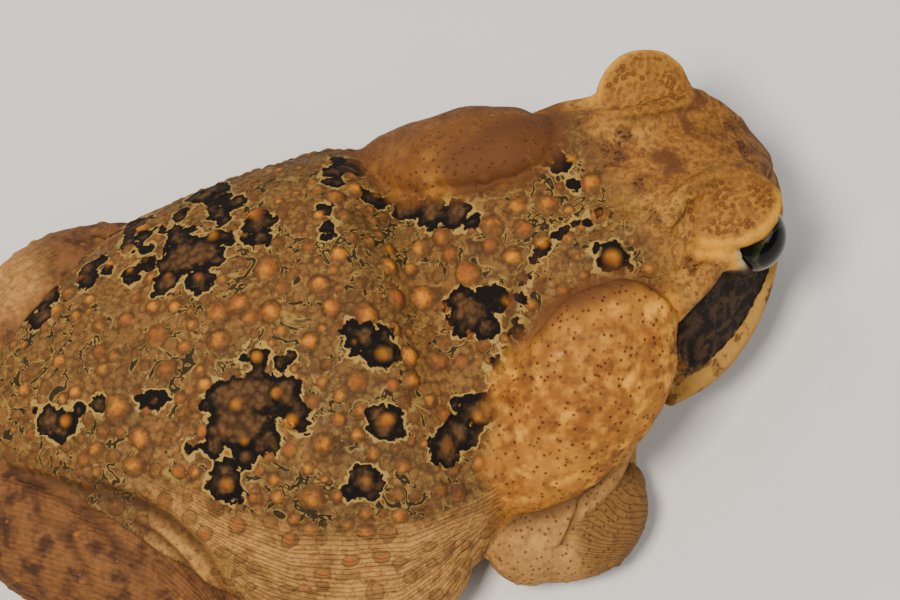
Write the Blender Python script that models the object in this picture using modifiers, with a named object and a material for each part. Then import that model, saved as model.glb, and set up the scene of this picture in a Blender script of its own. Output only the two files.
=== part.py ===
"""Cane toad at rest on the floor, life size, as a still museum model.

The frame is metres with +X towards the snout, +Y to the toad's left and +Z up. Sizes below are in
millimetres. The toad is first modelled along a straight spine: s runs from vent to snout, y to the
left and z up from the floor. bend() then turns the head and neck to the toad's left.
"""

import math
import random

import bmesh
import bpy
import numpy as np
from mathutils import Matrix, Vector
from mathutils.bvhtree import BVHTree

MM = 0.001
GAP = 0.3
SLIVER = 0.02

# Head and neck turn to the toad's left over this stretch of the spine.
BEND_FROM, BEND_TO, BEND_DEG = -12.0, 30.0, 15.0

# Torso: place along the spine, height of the back, of the widest level and of the belly, half width.
TORSO = (
    (-93, 19, 13, 8, 5),
    (-88, 25, 14, 3.5, 13),
    (-80, 32, 16, 0.8, 20),
    (-68, 38.5, 17, -0.6, 27),
    (-54, 43, 18, -0.6, 33),
    (-38, 46, 18, -0.6, 37.5),
    (-20, 47, 18, -0.6, 39.5),
    (-9, 46.5, 18, -0.6, 39.3),
    (0, 40.5, 18.5, -0.5, 38),
    (8, 43.8, 19, -0.1, 36.5),
    (22, 45, 20, 2, 32),
    (32, 44, 20, 5, 28),
    (40, 41, 21, 9, 23),
)
# Exponents of the torso's section above and below its widest level: 2 is an ellipse, more is boxier.
BACK_POWER, BELLY_POWER = 2.1, 2.9
# Behind the shoulders the body sags a little onto its right side.
SAG_FROM, SAG_TO = 14.0, -10.0
SAG_SHIFT, RIGHT_SWELL, LEFT_SWELL = -1.5, 1.13, 0.99

# Behind the right elbow the flank bulges out.
FLANK_AT, FLANK_RADII = (-20, -37.5, 13.8), (16.5, 16, 13.2)

# Head: place, top at the middle, crest half width and height, cheek half width and height,
# lip half width and height, throat half width and height, underside at the middle.
HEAD = (
    (18, 38.0, 8, 38.0, 17, 32, 22.0, 17, 14, 11, 9),
    (25, 42.6, 10, 43.0, 21, 36, 27.0, 18, 18, 8, 5),
    (32, 44.5, 11, 45.0, 22, 37, 30.2, 17.5, 20, 8, 5),
    (39, 44.5, 11, 45.2, 22, 36, 29.8, 17.5, 20, 9, 6),
    (46, 44.0, 10, 44.8, 20, 34, 27.4, 18, 19, 10, 7.5),
    (51.5, 43.0, 9.5, 43.8, 17, 32.5, 24.0, 18.5, 17, 11.5, 9.5),
    (57, 40.5, 8.5, 41.3, 13.5, 31, 19.2, 19, 14, 13.5, 12),
    (61.5, 37.0, 7.0, 37.6, 10.5, 29.5, 14.2, 20, 10.5, 16, 15),
    (65, 33.0, 5.0, 33.2, 7.0, 28, 9.2, 21, 6.8, 18.5, 18),
    (67.3, 28.5, 2.2, 28.3, 3.4, 26, 4.2, 23, 3.0, 21, 20.6),
)

EYE_RADIUS = 6.3
EYE_AT = (54.6, 17.0, 34.8)
LID_AT = {1: (51.1, 13.6, 40.0), -1: (52.8, 13.4, 40.9)}
LID_RADII = {1: (8.7, 8.4, 3.9), -1: (9.1, 7.3, 3.2)}
LID_TILT_DEG = {1: 20, -1: 8}
ORBIT_BACK = ((46.5, 15.5, 39.5, 2.4), (48.0, 18.5, 37.6, 2.4), (49.6, 20.8, 35.6, 2.0), (50.6, 22.0, 34.2, 1.5))
EARDRUM_AT = (38.0, 26.0, 27.0)
EARDRUM_RADII = (3.4, 4.2)

# Ridges of the skull, as tubes: points (s, y, z, radius) on the left side, front to back.
CANTHAL_RIDGE = ((65, 4.6, 31.5, 1.3), (62, 7.2, 36.0, 1.7), (58.5, 9.0, 40.0, 1.9))
ORBIT_CREST = ((59, 8.6, 40.6, 1.8), (53, 8.2, 43.6, 1.8), (46, 9.0, 45.0, 1.8), (41, 12, 45.0, 1.7))
EAR_RIDGE = ((48.5, 18.5, 38.5, 2.0), (43.5, 21.0, 38.0, 2.2), (38.5, 22.5, 37.5, 2.4), (34, 23.5, 37.0, 2.6))
# How much further in the left ridge over the eardrum lies.
EAR_IN = {1: 3.5, -1: 0.0}
UPPER_LIP = ((31, 30.2, 17.5, 1.3), (39, 29.8, 17.6, 1.4), (46, 27.4, 18.2, 1.4), (53, 22.9, 18.8, 1.4),
             (60, 16.2, 19.8, 1.3), (64.8, 9.6, 21.2, 1.2), (67.2, 4.0, 22.8, 1.1))

# Parotoid gland, from behind the eye down over the shoulder: (s, y, z, half width, half thickness).
PAROTOID = ((30.5, 21.5, 41.2, 7.6, 3.8), (26.5, 23.6, 39.8, 11.4, 5.8), (19.5, 27.6, 35.6, 13.0, 7.4),
            (12.5, 31.4, 29.8, 11.8, 7.4), (6, 34.2, 25, 8.6, 6.2), (1.5, 35.8, 21.8, 4.8, 4.0))
# The left gland lies closer in and reaches further back, on the outside of the turn of the head.
GLAND_OUT, GLAND_BACK = {1: -6.5, -1: 0.3}, {1: 7.0, -1: 0.0}
PAROTOID_OUT = (0.1, 0.62, 0.78)

NOSTRIL_AT, NOSTRIL_RADII = (64.4, 5.6, 30.6), (1.1, 0.9, 0.8)
MOUTH_DROP, MOUTH_DEPTH, MOUTH_HALF_HEIGHT = 1.5, 1.3, 0.4
SNOUT_AT, SNOUT_RADII = (65.0, 0, 25.2), (3.4, 5.2, 4.4)
NECK_AT = 33.0

# Limbs, left side, inner end first: (s, y, z, radius) or (s, y, z, half width, half height).
UPPER_ARM = ((20, 26, 18, 8.5), (12, 34, 15.5, 8.8), (5, 40, 12.8, 8.7), (4.0, 41.2, 11.8, 8.3))
FOREARM = ((5.5, 42.2, 10.8, 7.2), (9.5, 43, 10.6, 7.8), (13, 42.6, 9.8, 7.8), (16.4, 39.8, 8.4, 7), (18.8, 36.2, 6, 5.2))
PALM = ((19, 34.8, 4.6, 3.6, 3.2), (20.5, 29, 3.0, 4.6, 2.6), (22, 25.5, 2.2, 4.4, 2.2))
FINGERS = (
    ((20.5, 27, 1.7, 1.8), (19.8, 22.5, 1.6, 1.6), (19.4, 18, 1.3, 1.2)),
    ((22.5, 25.5, 1.8, 1.9), (23.6, 20.5, 1.6, 1.6), (24.4, 15.5, 1.3, 1.2)),
    ((24, 26, 1.8, 1.9), (27.5, 21.5, 1.6, 1.6), (30.5, 17, 1.3, 1.2)),
    ((24, 27.5, 1.7, 1.8), (28.5, 25, 1.6, 1.5), (32.5, 22, 1.3, 1.2)),
)

THIGH = ((-83, 10, 18, 11), (-74, 18, 20.5, 13.5), (-64, 26, 20, 14), (-55, 34, 17.5, 12), (-51, 37.5, 15.5, 9.6))
SHANK = ((-52, 39, 13.5, 7.0), (-57, 43.5, 11, 8.4), (-67, 45, 9.5, 8.4), (-79, 40.5, 8, 6.6), (-89, 34, 6.5, 5.0))
TARSUS = ((-87, 35.5, 5.2, 3.6), (-82, 41, 4.2, 4.4), (-75, 46, 3.4, 4.4, 3.2), (-68, 48.5, 2.6, 4.6, 2.6),
          (-63, 49.5, 2.2, 4.8, 2.3))
TOE_ROOT = (-66, 49)
# Toes, inner first: heading from straight ahead towards the side, length, and how far the web goes along.
TOES = ((-34, 16, 0.62), (-16, 23, 0.62), (2, 31, 0.56), (17, 39, 0.5), (33, 29, 0.66))
TOE_RADII = (2.1, 1.7, 1.2)
TUBERCLE_AT, TUBERCLE_RADII = (-65.5, 44.4, 1.6), (3.0, 1.5, 1.7)
# How far each side's arm, leg and foot lie further out than these rows, how far the foot turns out, in degrees,
# and how wide its toes spread.
ARM_OUT, LEG_OUT, FOOT_OUT = {1: -6.0, -1: 0.5}, {1: -12.0, -1: 3.0}, {1: -9.0, -1: 3.0}
FOOT_TURN, FOOT_SPREAD = {1: -16, -1: 0}, {1: 0.75, -1: 1.0}

# The photo's view of the toad: where it looks, how far away it is, and its focal length in pixels.
VIEW_HEADING, VIEW_ELEVATION, VIEW_ROLL = 89.5, 64.65, -13.3
VIEW_TARGET, VIEW_DISTANCE = (4.4, -0.5, 30.0), 439.8
VIEW_FOCAL, VIEW_CENTRE = 2500.0, (450, 300)

# Warts: base radius by size, height as a share of it, and how deep the root goes.
WART_RADII = {"big": 2.3, "mid": 1.65, "small": 1.2}
WART_HEIGHT, WART_ROOT, WART_CLEAR = 0.55, 0.7, 0.5
# The photo's main warts, by size, as its pixels across and down.
MAIN_WARTS = {
    "big": ((422, 298), (468, 274), (366, 315), (382, 355), (512, 391), (386, 421), (445, 445), (367, 480),
            (312, 498), (257, 216), (268, 269), (227, 484), (612, 258), (118, 408)),
    "mid": ((339, 254), (388, 267), (492, 225), (524, 229), (443, 236), (419, 249), (331, 307), (507, 301),
            (543, 244), (319, 284), (310, 342), (438, 361), (512, 257), (245, 441), (548, 205), (215, 238),
            (218, 313), (157, 336), (257, 357), (277, 393), (166, 370), (57, 311), (67, 421), (134, 465)),
    "small": ((199, 277), (239, 303), (184, 347), (99, 351), (59, 361), (82, 279), (203, 431), (164, 500),
              (403, 467), (365, 532), (400, 515), (338, 419)),
}
# Further warts are drawn at random over the rest of the trunk, left of the photo's view and low on the flanks.
RANDOM_WARTS, WART_SEED = 40, 11
RANDOM_ALONG, RANDOM_AROUND = (-84, 14), (-105, 95)

BODY_VOXEL, LIMB_VOXEL, FOOT_VOXEL = 1.0, 0.8, 0.5
BODY_TRIANGLES, GLAND_TRIANGLES = 3500, 360
UPPER_ARM_TRIANGLES, FOREARM_TRIANGLES, HAND_TRIANGLES = 240, 240, 460
THIGH_TRIANGLES, SHANK_TRIANGLES, FOOT_TRIANGLES = 300, 260, 680


def spline(rows, steps):
    """Rows of numbers run through a Catmull-Rom curve, steps points to each span."""
    rows = np.array(rows, float)
    ends = np.vstack([2 * rows[0] - rows[1], rows, 2 * rows[-1] - rows[-2]])
    made = []
    for i in range(len(rows) - 1):
        a, b, c, d = ends[i : i + 4]
        for t in np.arange(steps) / steps:
            made.append(
                0.5 * (2 * b + (c - a) * t + (2 * a - 5 * b + 4 * c - d) * t**2 + (3 * b - a - 3 * c + d) * t**3)
            )
    made.append(rows[-1])
    return np.array(made)


def bend(points):
    """Points along the straight spine, turned with the neck and head. Works on an (n, 3) array."""
    p = np.array(points, float).reshape(-1, 3)
    turn = math.radians(BEND_DEG)
    length = BEND_TO - BEND_FROM
    share = np.clip((p[:, 0] - BEND_FROM) / length, 0, 1)
    angle = turn * share
    radius = length / turn
    past = np.clip(p[:, 0] - BEND_TO, 0, None)
    before = np.minimum(p[:, 0], BEND_FROM)
    x = before + radius * np.sin(angle) + past * np.cos(angle) - p[:, 1] * np.sin(angle)
    y = radius * (1 - np.cos(angle)) + past * np.sin(angle) + p[:, 1] * np.cos(angle)
    return np.column_stack([x, y, p[:, 2]])


def mesh_object(name, points, faces, collection):
    """A mesh object from points in millimetres."""
    mesh = bpy.data.meshes.new(name)
    mesh.from_pydata([tuple(float(c) * MM for c in p) for p in points], [], faces)
    mesh.update()
    made = bpy.data.objects.new(name, mesh)
    collection.objects.link(made)
    return made


def loft(name, rings, collection):
    """A closed body through rings of equal count, each end closed by a fan to its middle."""
    rings = np.array(rings, float)
    count, around = rings.shape[:2]
    points = rings.reshape(-1, 3).tolist()
    faces = [
        (i * around + j, i * around + (j + 1) % around, (i + 1) * around + (j + 1) % around, (i + 1) * around + j)
        for i in range(count - 1)
        for j in range(around)
    ]
    for start, flip in ((0, True), ((count - 1) * around, False)):
        middle = len(points)
        points.append(rings[0 if flip else -1].mean(axis=0).tolist())
        for j in range(around):
            fan = (start + j, start + (j + 1) % around, middle)
            faces.append(fan[::-1] if flip else fan)
    made = mesh_object(name, points, faces, collection)
    face_out(made)
    return made


def face_out(obj):
    """Turns the faces of a closed body outwards."""
    work = bmesh.new()
    work.from_mesh(obj.data)
    bmesh.ops.recalc_face_normals(work, faces=work.faces)
    if work.calc_volume(signed=True) < 0:
        bmesh.ops.reverse_faces(work, faces=work.faces)
    work.to_mesh(obj.data)
    work.free()


def torso_ring(row, around=40):
    s, back, wide, belly, half = row
    turn = np.arange(around) * 2 * math.pi / around
    c, z = np.cos(turn), np.sin(turn)
    power = np.where(z >= 0, BACK_POWER, BELLY_POWER)
    y = half * np.sign(c) * np.abs(c) ** (2 / power)
    rise = np.abs(z) ** (2 / power)
    height = np.where(z >= 0, wide + (back - wide) * rise, wide - (wide - belly) * rise)
    sag = min(max((SAG_FROM - s) / (SAG_FROM - SAG_TO), 0), 1)
    swell = np.where(y < 0, RIGHT_SWELL, LEFT_SWELL)
    y = y * (1 + sag * (swell - 1)) + sag * SAG_SHIFT
    return np.column_stack([np.full(around, s), y, height])


def head_ring(row, steps=4):
    s, top, crest_y, crest_z, cheek_y, cheek_z, lip_y, lip_z, throat_y, throat_z, under = row
    half = [(0, top), (crest_y * 0.55, top), (crest_y, crest_z), (cheek_y, cheek_z), (lip_y, lip_z),
            (lip_y - 1.2, lip_z - 3.0 * (lip_z - under) / 12), (throat_y, throat_z), (throat_y * 0.5, under), (0, under)]
    full = half + [(-y, z) for y, z in half[-2:0:-1]]
    closed = np.array(full[-2:] + full + full[:2], float)
    made = []
    for i in range(1, len(full) + 1):
        a, b, c, d = closed[i : i + 4]
        for t in np.arange(steps) / steps:
            made.append(
                0.5 * (2 * b + (c - a) * t + (2 * a - 5 * b + 4 * c - d) * t**2 + (3 * b - a - 3 * c + d) * t**3)
            )
    made = np.array(made)
    return np.column_stack([np.full(len(made), s), made])


def tube(name, rows, collection, up=(0, 0, 1), around=16, steps=5, curved=True):
    """A limb-like body: rows of (x, y, z, half width, half height), rounded at both ends.

    A row of four numbers is round. The width lies across up.
    """
    rows = [tuple(r) + (r[3],) if len(r) == 4 else r for r in rows]
    path = spline(rows, steps)
    centre, radii = path[:, :3], path[:, 3:]
    if curved:
        centre = bend(centre)
    along = np.gradient(centre, axis=0)
    along /= np.linalg.norm(along, axis=1)[:, None]
    rounding = (0.97, 0.85, 0.6, 0.3)
    rings = []

    def ring(at, way, half_width, half_height):
        side = np.cross(way, up)
        side /= np.linalg.norm(side)
        high = np.cross(side, way)
        turn = np.arange(around) * 2 * math.pi / around
        return at + half_width * np.outer(np.cos(turn), side) + half_height * np.outer(np.sin(turn), high)

    for end, order in ((0, 1), (-1, -1)):
        cap = []
        for u in rounding:
            back = -order * u * min(radii[end]) * along[end]
            shrink = math.sqrt(1 - u * u)
            cap.append(ring(centre[end] + back, along[end], *(radii[end] * shrink)))
        if end == 0:
            rings += cap
            rings += [ring(c, a, *r) for c, a, r in zip(centre, along, radii)]
        else:
            rings += cap[::-1]
    return loft(name, rings, collection)


def ellipsoid(name, at, radii, collection, tilt_deg=0, curved=True, level=3):
    """An ellipsoid at a point of the spine's frame, tilted about the spine."""
    work = bmesh.new()
    bmesh.ops.create_icosphere(work, subdivisions=level, radius=1)
    turn = Matrix.Rotation(math.radians(tilt_deg), 3, "X")
    points = [turn @ Vector((v.co.x * radii[0], v.co.y * radii[1], v.co.z * radii[2])) + Vector(at) for v in work.verts]
    faces = [[v.index for v in f.verts] for f in work.faces]
    work.free()
    points = [tuple(p) for p in points]
    if curved:
        points = bend(points)
    made = mesh_object(name, points, faces, collection)
    face_out(made)
    return made


def mirrored(rows, side):
    return [(r[0], side * r[1]) + tuple(r[2:]) for r in rows]


def smoothed(obj, voxel, rounds, triangles):
    """Fuses the overlapping bodies in obj into one smooth skin, then thins it to about this many triangles."""
    remesh = obj.modifiers.new("fuse", "REMESH")
    remesh.mode = "VOXEL"
    remesh.voxel_size = voxel * MM
    smooth = obj.modifiers.new("soften", "SMOOTH")
    smooth.factor = 0.5
    smooth.iterations = rounds
    bake(obj)
    obj.data.calc_loop_triangles()
    if triangles:
        thin = obj.modifiers.new("thin", "DECIMATE")
        thin.ratio = triangles / len(obj.data.loop_triangles)
        bake(obj)
    keep_largest(obj)
    return obj


def bake(obj):
    """Applies all modifiers of obj."""
    graph = bpy.context.evaluated_depsgraph_get()
    mesh = bpy.data.meshes.new_from_object(obj.evaluated_get(graph))
    obj.modifiers.clear()
    obj.data = mesh


def joined(name, pieces, collection):
    """One object that holds all the pieces, which are removed."""
    work = bmesh.new()
    for piece in pieces:
        work.from_mesh(piece.data)
        bpy.data.objects.remove(piece)
    mesh = bpy.data.meshes.new(name)
    work.to_mesh(mesh)
    work.free()
    made = bpy.data.objects.new(name, mesh)
    collection.objects.link(made)
    return made


def keep_largest(obj):
    """Leaves only the largest closed surface of obj."""
    work = bmesh.new()
    work.from_mesh(obj.data)
    work.verts.ensure_lookup_table()
    island = {}
    groups = []
    for start in work.verts:
        if start.index in island:
            continue
        group, queue = [], [start]
        island[start.index] = len(groups)
        while queue:
            v = queue.pop()
            group.append(v)
            for e in v.link_edges:
                w = e.other_vert(v)
                if w.index not in island:
                    island[w.index] = len(groups)
                    queue.append(w)
        groups.append(group)
    largest = max(groups, key=len)
    dropped = [v for g in groups if g is not largest for v in g]
    bmesh.ops.delete(work, geom=dropped, context="VERTS")
    bmesh.ops.dissolve_degenerate(work, edges=work.edges, dist=SLIVER * MM)
    bmesh.ops.triangulate(work, faces=work.faces)
    work.to_mesh(obj.data)
    work.free()


def boolean(obj, other, operation):
    cut = obj.modifiers.new("cut", "BOOLEAN")
    cut.operation = operation
    cut.solver = "MANIFOLD"
    cut.object = other
    bpy.context.view_layer.update()
    bake(obj)


def swollen(obj, by, collection):
    """A copy of obj whose surface stands off by this many millimetres, for cutting its neighbours clear."""
    made = obj.copy()
    made.data = obj.data.copy()
    collection.objects.link(made)
    push = made.modifiers.new("swell", "DISPLACE")
    push.strength = by * MM
    push.mid_level = 0
    bpy.context.view_layer.update()
    bake(made)
    made.hide_render = True
    made.display_type = "WIRE"
    return made


def box(name, centre, way, size, collection):
    """A cube standing on the plane through centre, on the side that way points to."""
    way = Vector(way).normalized()
    turn = way.to_track_quat("Z", "Y").to_matrix()
    corners = [(x, y, z) for z in (0, size) for y in (-size, size) for x in (-size, size)]
    points = [tuple(turn @ Vector(c) + Vector(centre)) for c in corners]
    faces = [(0, 2, 3, 1), (4, 5, 7, 6), (0, 1, 5, 4), (2, 6, 7, 3), (0, 4, 6, 2), (1, 3, 7, 5)]
    made = mesh_object(name, points, faces, collection)
    face_out(made)
    return made


def cut_plane(obj, centre, way, cutters):
    """Takes away what lies beyond a plane, on the side that way points to."""
    block = box("block", centre, way, 200, cutters)
    boolean(obj, block, "DIFFERENCE")
    bpy.data.objects.remove(block)


def split(obj, centre, way, names, cutters):
    """Two parts of obj on either side of a plane, with the joint gap between them."""
    way = np.array(way, float) / np.linalg.norm(way)
    far = obj.copy()
    far.data = obj.data.copy()
    obj.users_collection[0].objects.link(far)
    cut_plane(obj, np.array(centre) - way * GAP / 2, way, cutters)
    cut_plane(far, np.array(centre) + way * GAP / 2, -way, cutters)
    for part, name in zip((obj, far), names):
        part.name = name
        keep_largest(part)
    return obj, far


def fit_clear(obj, rooms):
    """Cuts obj back to leave the room that its neighbours need."""
    for room in rooms:
        boolean(obj, room, "DIFFERENCE")
    keep_largest(obj)


def bent(at):
    return bend([at])[0]


def build_body(parts):
    """Head and torso as one fused skin."""
    pieces = [
        loft("trunk", [bend(torso_ring(r)) for r in spline(TORSO, 4)], parts),
        loft("skull", [bend(head_ring(r)) for r in spline(HEAD, 3)], parts),
        ellipsoid("snout", SNOUT_AT, SNOUT_RADII, parts),
        ellipsoid("flank", FLANK_AT, FLANK_RADII, parts),
    ]
    for side in (1, -1):
        ear = [(r[0], r[1] - EAR_IN[side]) + tuple(r[2:]) for r in EAR_RIDGE]
        for rows in (CANTHAL_RIDGE, ORBIT_CREST, ORBIT_BACK, ear, UPPER_LIP):
            pieces.append(tube("ridge", mirrored(rows, side), parts, around=10))
        lid_at = mirrored((LID_AT[side],), side)[0]
        pieces.append(ellipsoid("lid", lid_at, LID_RADII[side], parts, tilt_deg=side * LID_TILT_DEG[side]))
        arm = mirrored(((20, 22, 19, 11), (12, 28, 17, 10)), side)
        pieces.append(tube("shoulder", arm, parts))
    body = joined("body", pieces, parts)
    return smoothed(body, BODY_VOXEL, 5, BODY_TRIANGLES)


def carve_mouth(body, cutters):
    """Cuts the mouth line under the upper lip, and the nostrils."""
    left = [(s, y + 0.4, z - MOUTH_DROP, MOUTH_DEPTH, MOUTH_HALF_HEIGHT) for s, y, z, _ in UPPER_LIP]
    front = (UPPER_LIP[-1][0] + 0.9, 0, UPPER_LIP[-1][2] - MOUTH_DROP + 0.2, MOUTH_DEPTH, MOUTH_HALF_HEIGHT)
    cuts = [tube("mouth", left + [front] + mirrored(left, -1)[::-1], cutters, around=8, steps=2)]
    for side in SIDES:
        at = (NOSTRIL_AT[0], side * NOSTRIL_AT[1], NOSTRIL_AT[2])
        cuts.append(ellipsoid("nostril", at, NOSTRIL_RADII, cutters, level=1))
    for cut in cuts:
        boolean(body, cut, "DIFFERENCE")
        bpy.data.objects.remove(cut)


def view_ray(across, down):
    """Where the photo was taken from, and the direction through one of its pixels."""
    heading, high, roll = (math.radians(a) for a in (VIEW_HEADING, VIEW_ELEVATION, VIEW_ROLL))
    look = Vector((math.cos(high) * math.cos(heading), math.cos(high) * math.sin(heading), -math.sin(high)))
    level = Vector((math.sin(heading), -math.cos(heading), 0))
    rise = level.cross(look)
    right = math.cos(roll) * level + math.sin(roll) * rise
    up = math.cos(roll) * rise - math.sin(roll) * level
    start = Vector(VIEW_TARGET) - look * VIEW_DISTANCE
    across, down = (across - VIEW_CENTRE[0]) / VIEW_FOCAL, (down - VIEW_CENTRE[1]) / VIEW_FOCAL
    return start * MM, (look + right * across - up * down).normalized()


def spots_for_warts(body, blocked):
    """Places, outward directions and radii of all warts on the body, clear of its neighbours and each other."""
    surface = BVHTree.FromObject(body, bpy.context.evaluated_depsgraph_get())
    keep_off = [BVHTree.FromObject(obj, bpy.context.evaluated_depsgraph_get()) for obj in blocked]
    neck, ahead = Vector(bent((NECK_AT, 0, 0))) * MM, math.radians(BEND_DEG)
    spots = []

    def add(start, way, radius):
        at, normal, _, _ = surface.ray_cast(start, way)
        if at is None or at.z < 5 * MM:
            return
        room = (radius + WART_CLEAR) * MM
        if abs((at.x - neck.x) * math.cos(ahead) + (at.y - neck.y) * math.sin(ahead)) < room:
            return
        if any((at - other).length < room + r * MM for other, _, r in spots):
            return
        if any(tree.find_nearest(at)[3] < room or tree.ray_cast(at, normal)[0] for tree in keep_off):
            return
        spots.append((at, normal, radius))

    for size, places in MAIN_WARTS.items():
        for place in places:
            add(*view_ray(*place), WART_RADII[size])
    draw = random.Random(WART_SEED)
    wanted = len(spots) + RANDOM_WARTS
    for _ in range(RANDOM_WARTS * 30):
        if len(spots) >= wanted:
            break
        s, around = draw.uniform(*RANDOM_ALONG), math.radians(draw.uniform(*RANDOM_AROUND))
        start = Vector(bend([(s, 90 * math.sin(around), 18 + 90 * math.cos(around))])[0]) * MM
        middle = Vector(bend([(s, 0, 18)])[0]) * MM
        add(start, (middle - start).normalized(), WART_RADII[draw.choice(("mid", "small", "small"))])
    return spots


def build_warts(spots, cutters, sides=7):
    """All warts as separate low domes in one object."""
    work = bmesh.new()
    for at, normal, radius in spots:
        turn = normal.to_track_quat("Z", "Y").to_matrix()
        rings = []
        for share, high in ((0.85, -WART_ROOT), (1.0, 0.0), (0.72, 0.68 * WART_HEIGHT)):
            rings.append([
                work.verts.new(at + turn @ Vector((
                    share * radius * MM * math.cos(2 * math.pi * i / sides),
                    share * radius * MM * math.sin(2 * math.pi * i / sides),
                    high * radius * MM,
                )))
                for i in range(sides)
            ])
        top = work.verts.new(at + normal * radius * WART_HEIGHT * MM)
        work.faces.new(rings[0][::-1])
        for low, upper in zip(rings, rings[1:]):
            for i in range(sides):
                work.faces.new((low[i], low[(i + 1) % sides], upper[(i + 1) % sides], upper[i]))
        for i in range(sides):
            work.faces.new((rings[-1][i], rings[-1][(i + 1) % sides], top))
    mesh = bpy.data.meshes.new("warts")
    work.to_mesh(mesh)
    work.free()
    made = bpy.data.objects.new("warts", mesh)
    cutters.objects.link(made)
    return made


def build_gland(side, parts):
    out = (PAROTOID_OUT[0], side * PAROTOID_OUT[1], PAROTOID_OUT[2])
    last = len(PAROTOID) - 1
    rows = [
        (r[0] - GLAND_BACK[side] * i / last, r[1] + GLAND_OUT[side] * (1 - 0.4 * i / last)) + r[2:]
        for i, r in enumerate(PAROTOID)
    ]
    gland = tube("parotoid_" + SIDES[side], mirrored(rows, side), parts, up=out, around=24)
    return smoothed(gland, BODY_VOXEL, 6, GLAND_TRIANGLES)


def build_eye(side, parts):
    at = (EYE_AT[0], side * EYE_AT[1], EYE_AT[2])
    return ellipsoid("eye_" + SIDES[side], at, (EYE_RADIUS,) * 3, parts)


def build_eardrum(side, parts):
    """A round plate set in the side of the head, a hair proud of it."""
    s, y, z = EARDRUM_AT
    round_ness = EARDRUM_RADII
    return ellipsoid("eardrum_" + SIDES[side], (s, side * y, z), (round_ness[0], 2.6, round_ness[1]), parts, level=2)


def build_arm(side, parts):

    def placed(rows):
        return [(r[0], side * (r[1] + ARM_OUT[side])) + tuple(r[2:]) for r in rows]

    upper = tube("upper_arm_" + SIDES[side], placed(UPPER_ARM), parts)
    fore = tube("forearm_" + SIDES[side], placed(FOREARM), parts)
    palm = [tube("palm", placed(PALM), parts)]
    palm += [tube("finger", placed(rows), parts, around=10) for rows in FINGERS]
    hand = joined("hand_" + SIDES[side], palm, parts)
    smoothed(upper, LIMB_VOXEL, 4, UPPER_ARM_TRIANGLES)
    smoothed(fore, LIMB_VOXEL, 4, FOREARM_TRIANGLES)
    smoothed(hand, FOOT_VOXEL, 4, HAND_TRIANGLES)
    return upper, fore, hand


def web(toes, collection, side, top=1.9, low=-0.4):
    """Skin between the toes, as a plate scalloped in between."""
    bodies = []
    for (way_a, long_a, web_a), (way_b, long_b, web_b) in zip(toes, toes[1:]):
        root = np.array(TOE_ROOT)
        a = root + long_a * web_a * np.array([math.cos(way_a), math.sin(way_a)])
        b = root + long_b * web_b * np.array([math.cos(way_b), math.sin(way_b)])
        middle = root + 0.88 * ((a + b) / 2 - root)
        flat = [root, a, middle, b]
        points = [(p[0], side * p[1], z) for z in (low, top) for p in flat]
        faces = [(0, 1, 2, 3), (4, 5, 6, 7)] + [(i, (i + 1) % 4, 4 + (i + 1) % 4, 4 + i) for i in range(4)]
        plate = mesh_object("web", points, faces, collection)
        face_out(plate)
        bodies.append(plate)
    return bodies


def build_leg(side, parts):
    out = LEG_OUT[side]

    def placed(rows, by=FOOT_OUT[side]):
        return [(r[0], side * (r[1] + by)) + tuple(r[2:]) for r in rows]

    thigh_rows = [(r[0], side * (r[1] + out * i / (len(THIGH) - 1))) + tuple(r[2:]) for i, r in enumerate(THIGH)]
    thigh = tube("thigh_" + SIDES[side], thigh_rows, parts, curved=False)
    shank = tube("shank_" + SIDES[side], placed(SHANK, out), parts, curved=False)
    toes = [(math.radians(way * FOOT_SPREAD[side] + FOOT_TURN[side]), length, share) for way, length, share in TOES]
    pieces = [tube("tarsus", placed(TARSUS), parts, curved=False)]
    for way, length, share in toes:
        head = np.array([math.cos(way), math.sin(way)])
        steps = ((-3, 2.0, TOE_RADII[0]), (length * 0.55, 1.8, TOE_RADII[1]), (length, 1.3, TOE_RADII[2]))
        rows = [(*(np.array(TOE_ROOT) + head * d), z, r) for d, z, r in steps]
        pieces.append(tube("toe", placed(rows), parts, around=10, curved=False))
    for plate in web(toes, parts, side):
        plate.data.transform(Matrix.Translation((0, side * FOOT_OUT[side] * MM, 0)))
        pieces.append(plate)
    tubercle = (TUBERCLE_AT[0], side * (TUBERCLE_AT[1] + FOOT_OUT[side]), TUBERCLE_AT[2])
    pieces.append(ellipsoid("tubercle", tubercle, TUBERCLE_RADII, parts, curved=False, level=2))
    foot = joined("foot_" + SIDES[side], pieces, parts)
    smoothed(thigh, LIMB_VOXEL, 4, THIGH_TRIANGLES)
    smoothed(shank, LIMB_VOXEL, 4, SHANK_TRIANGLES)
    smoothed(foot, FOOT_VOXEL, 3, FOOT_TRIANGLES)
    return thigh, shank, foot


SIDES = {1: "left", -1: "right"}


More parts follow.
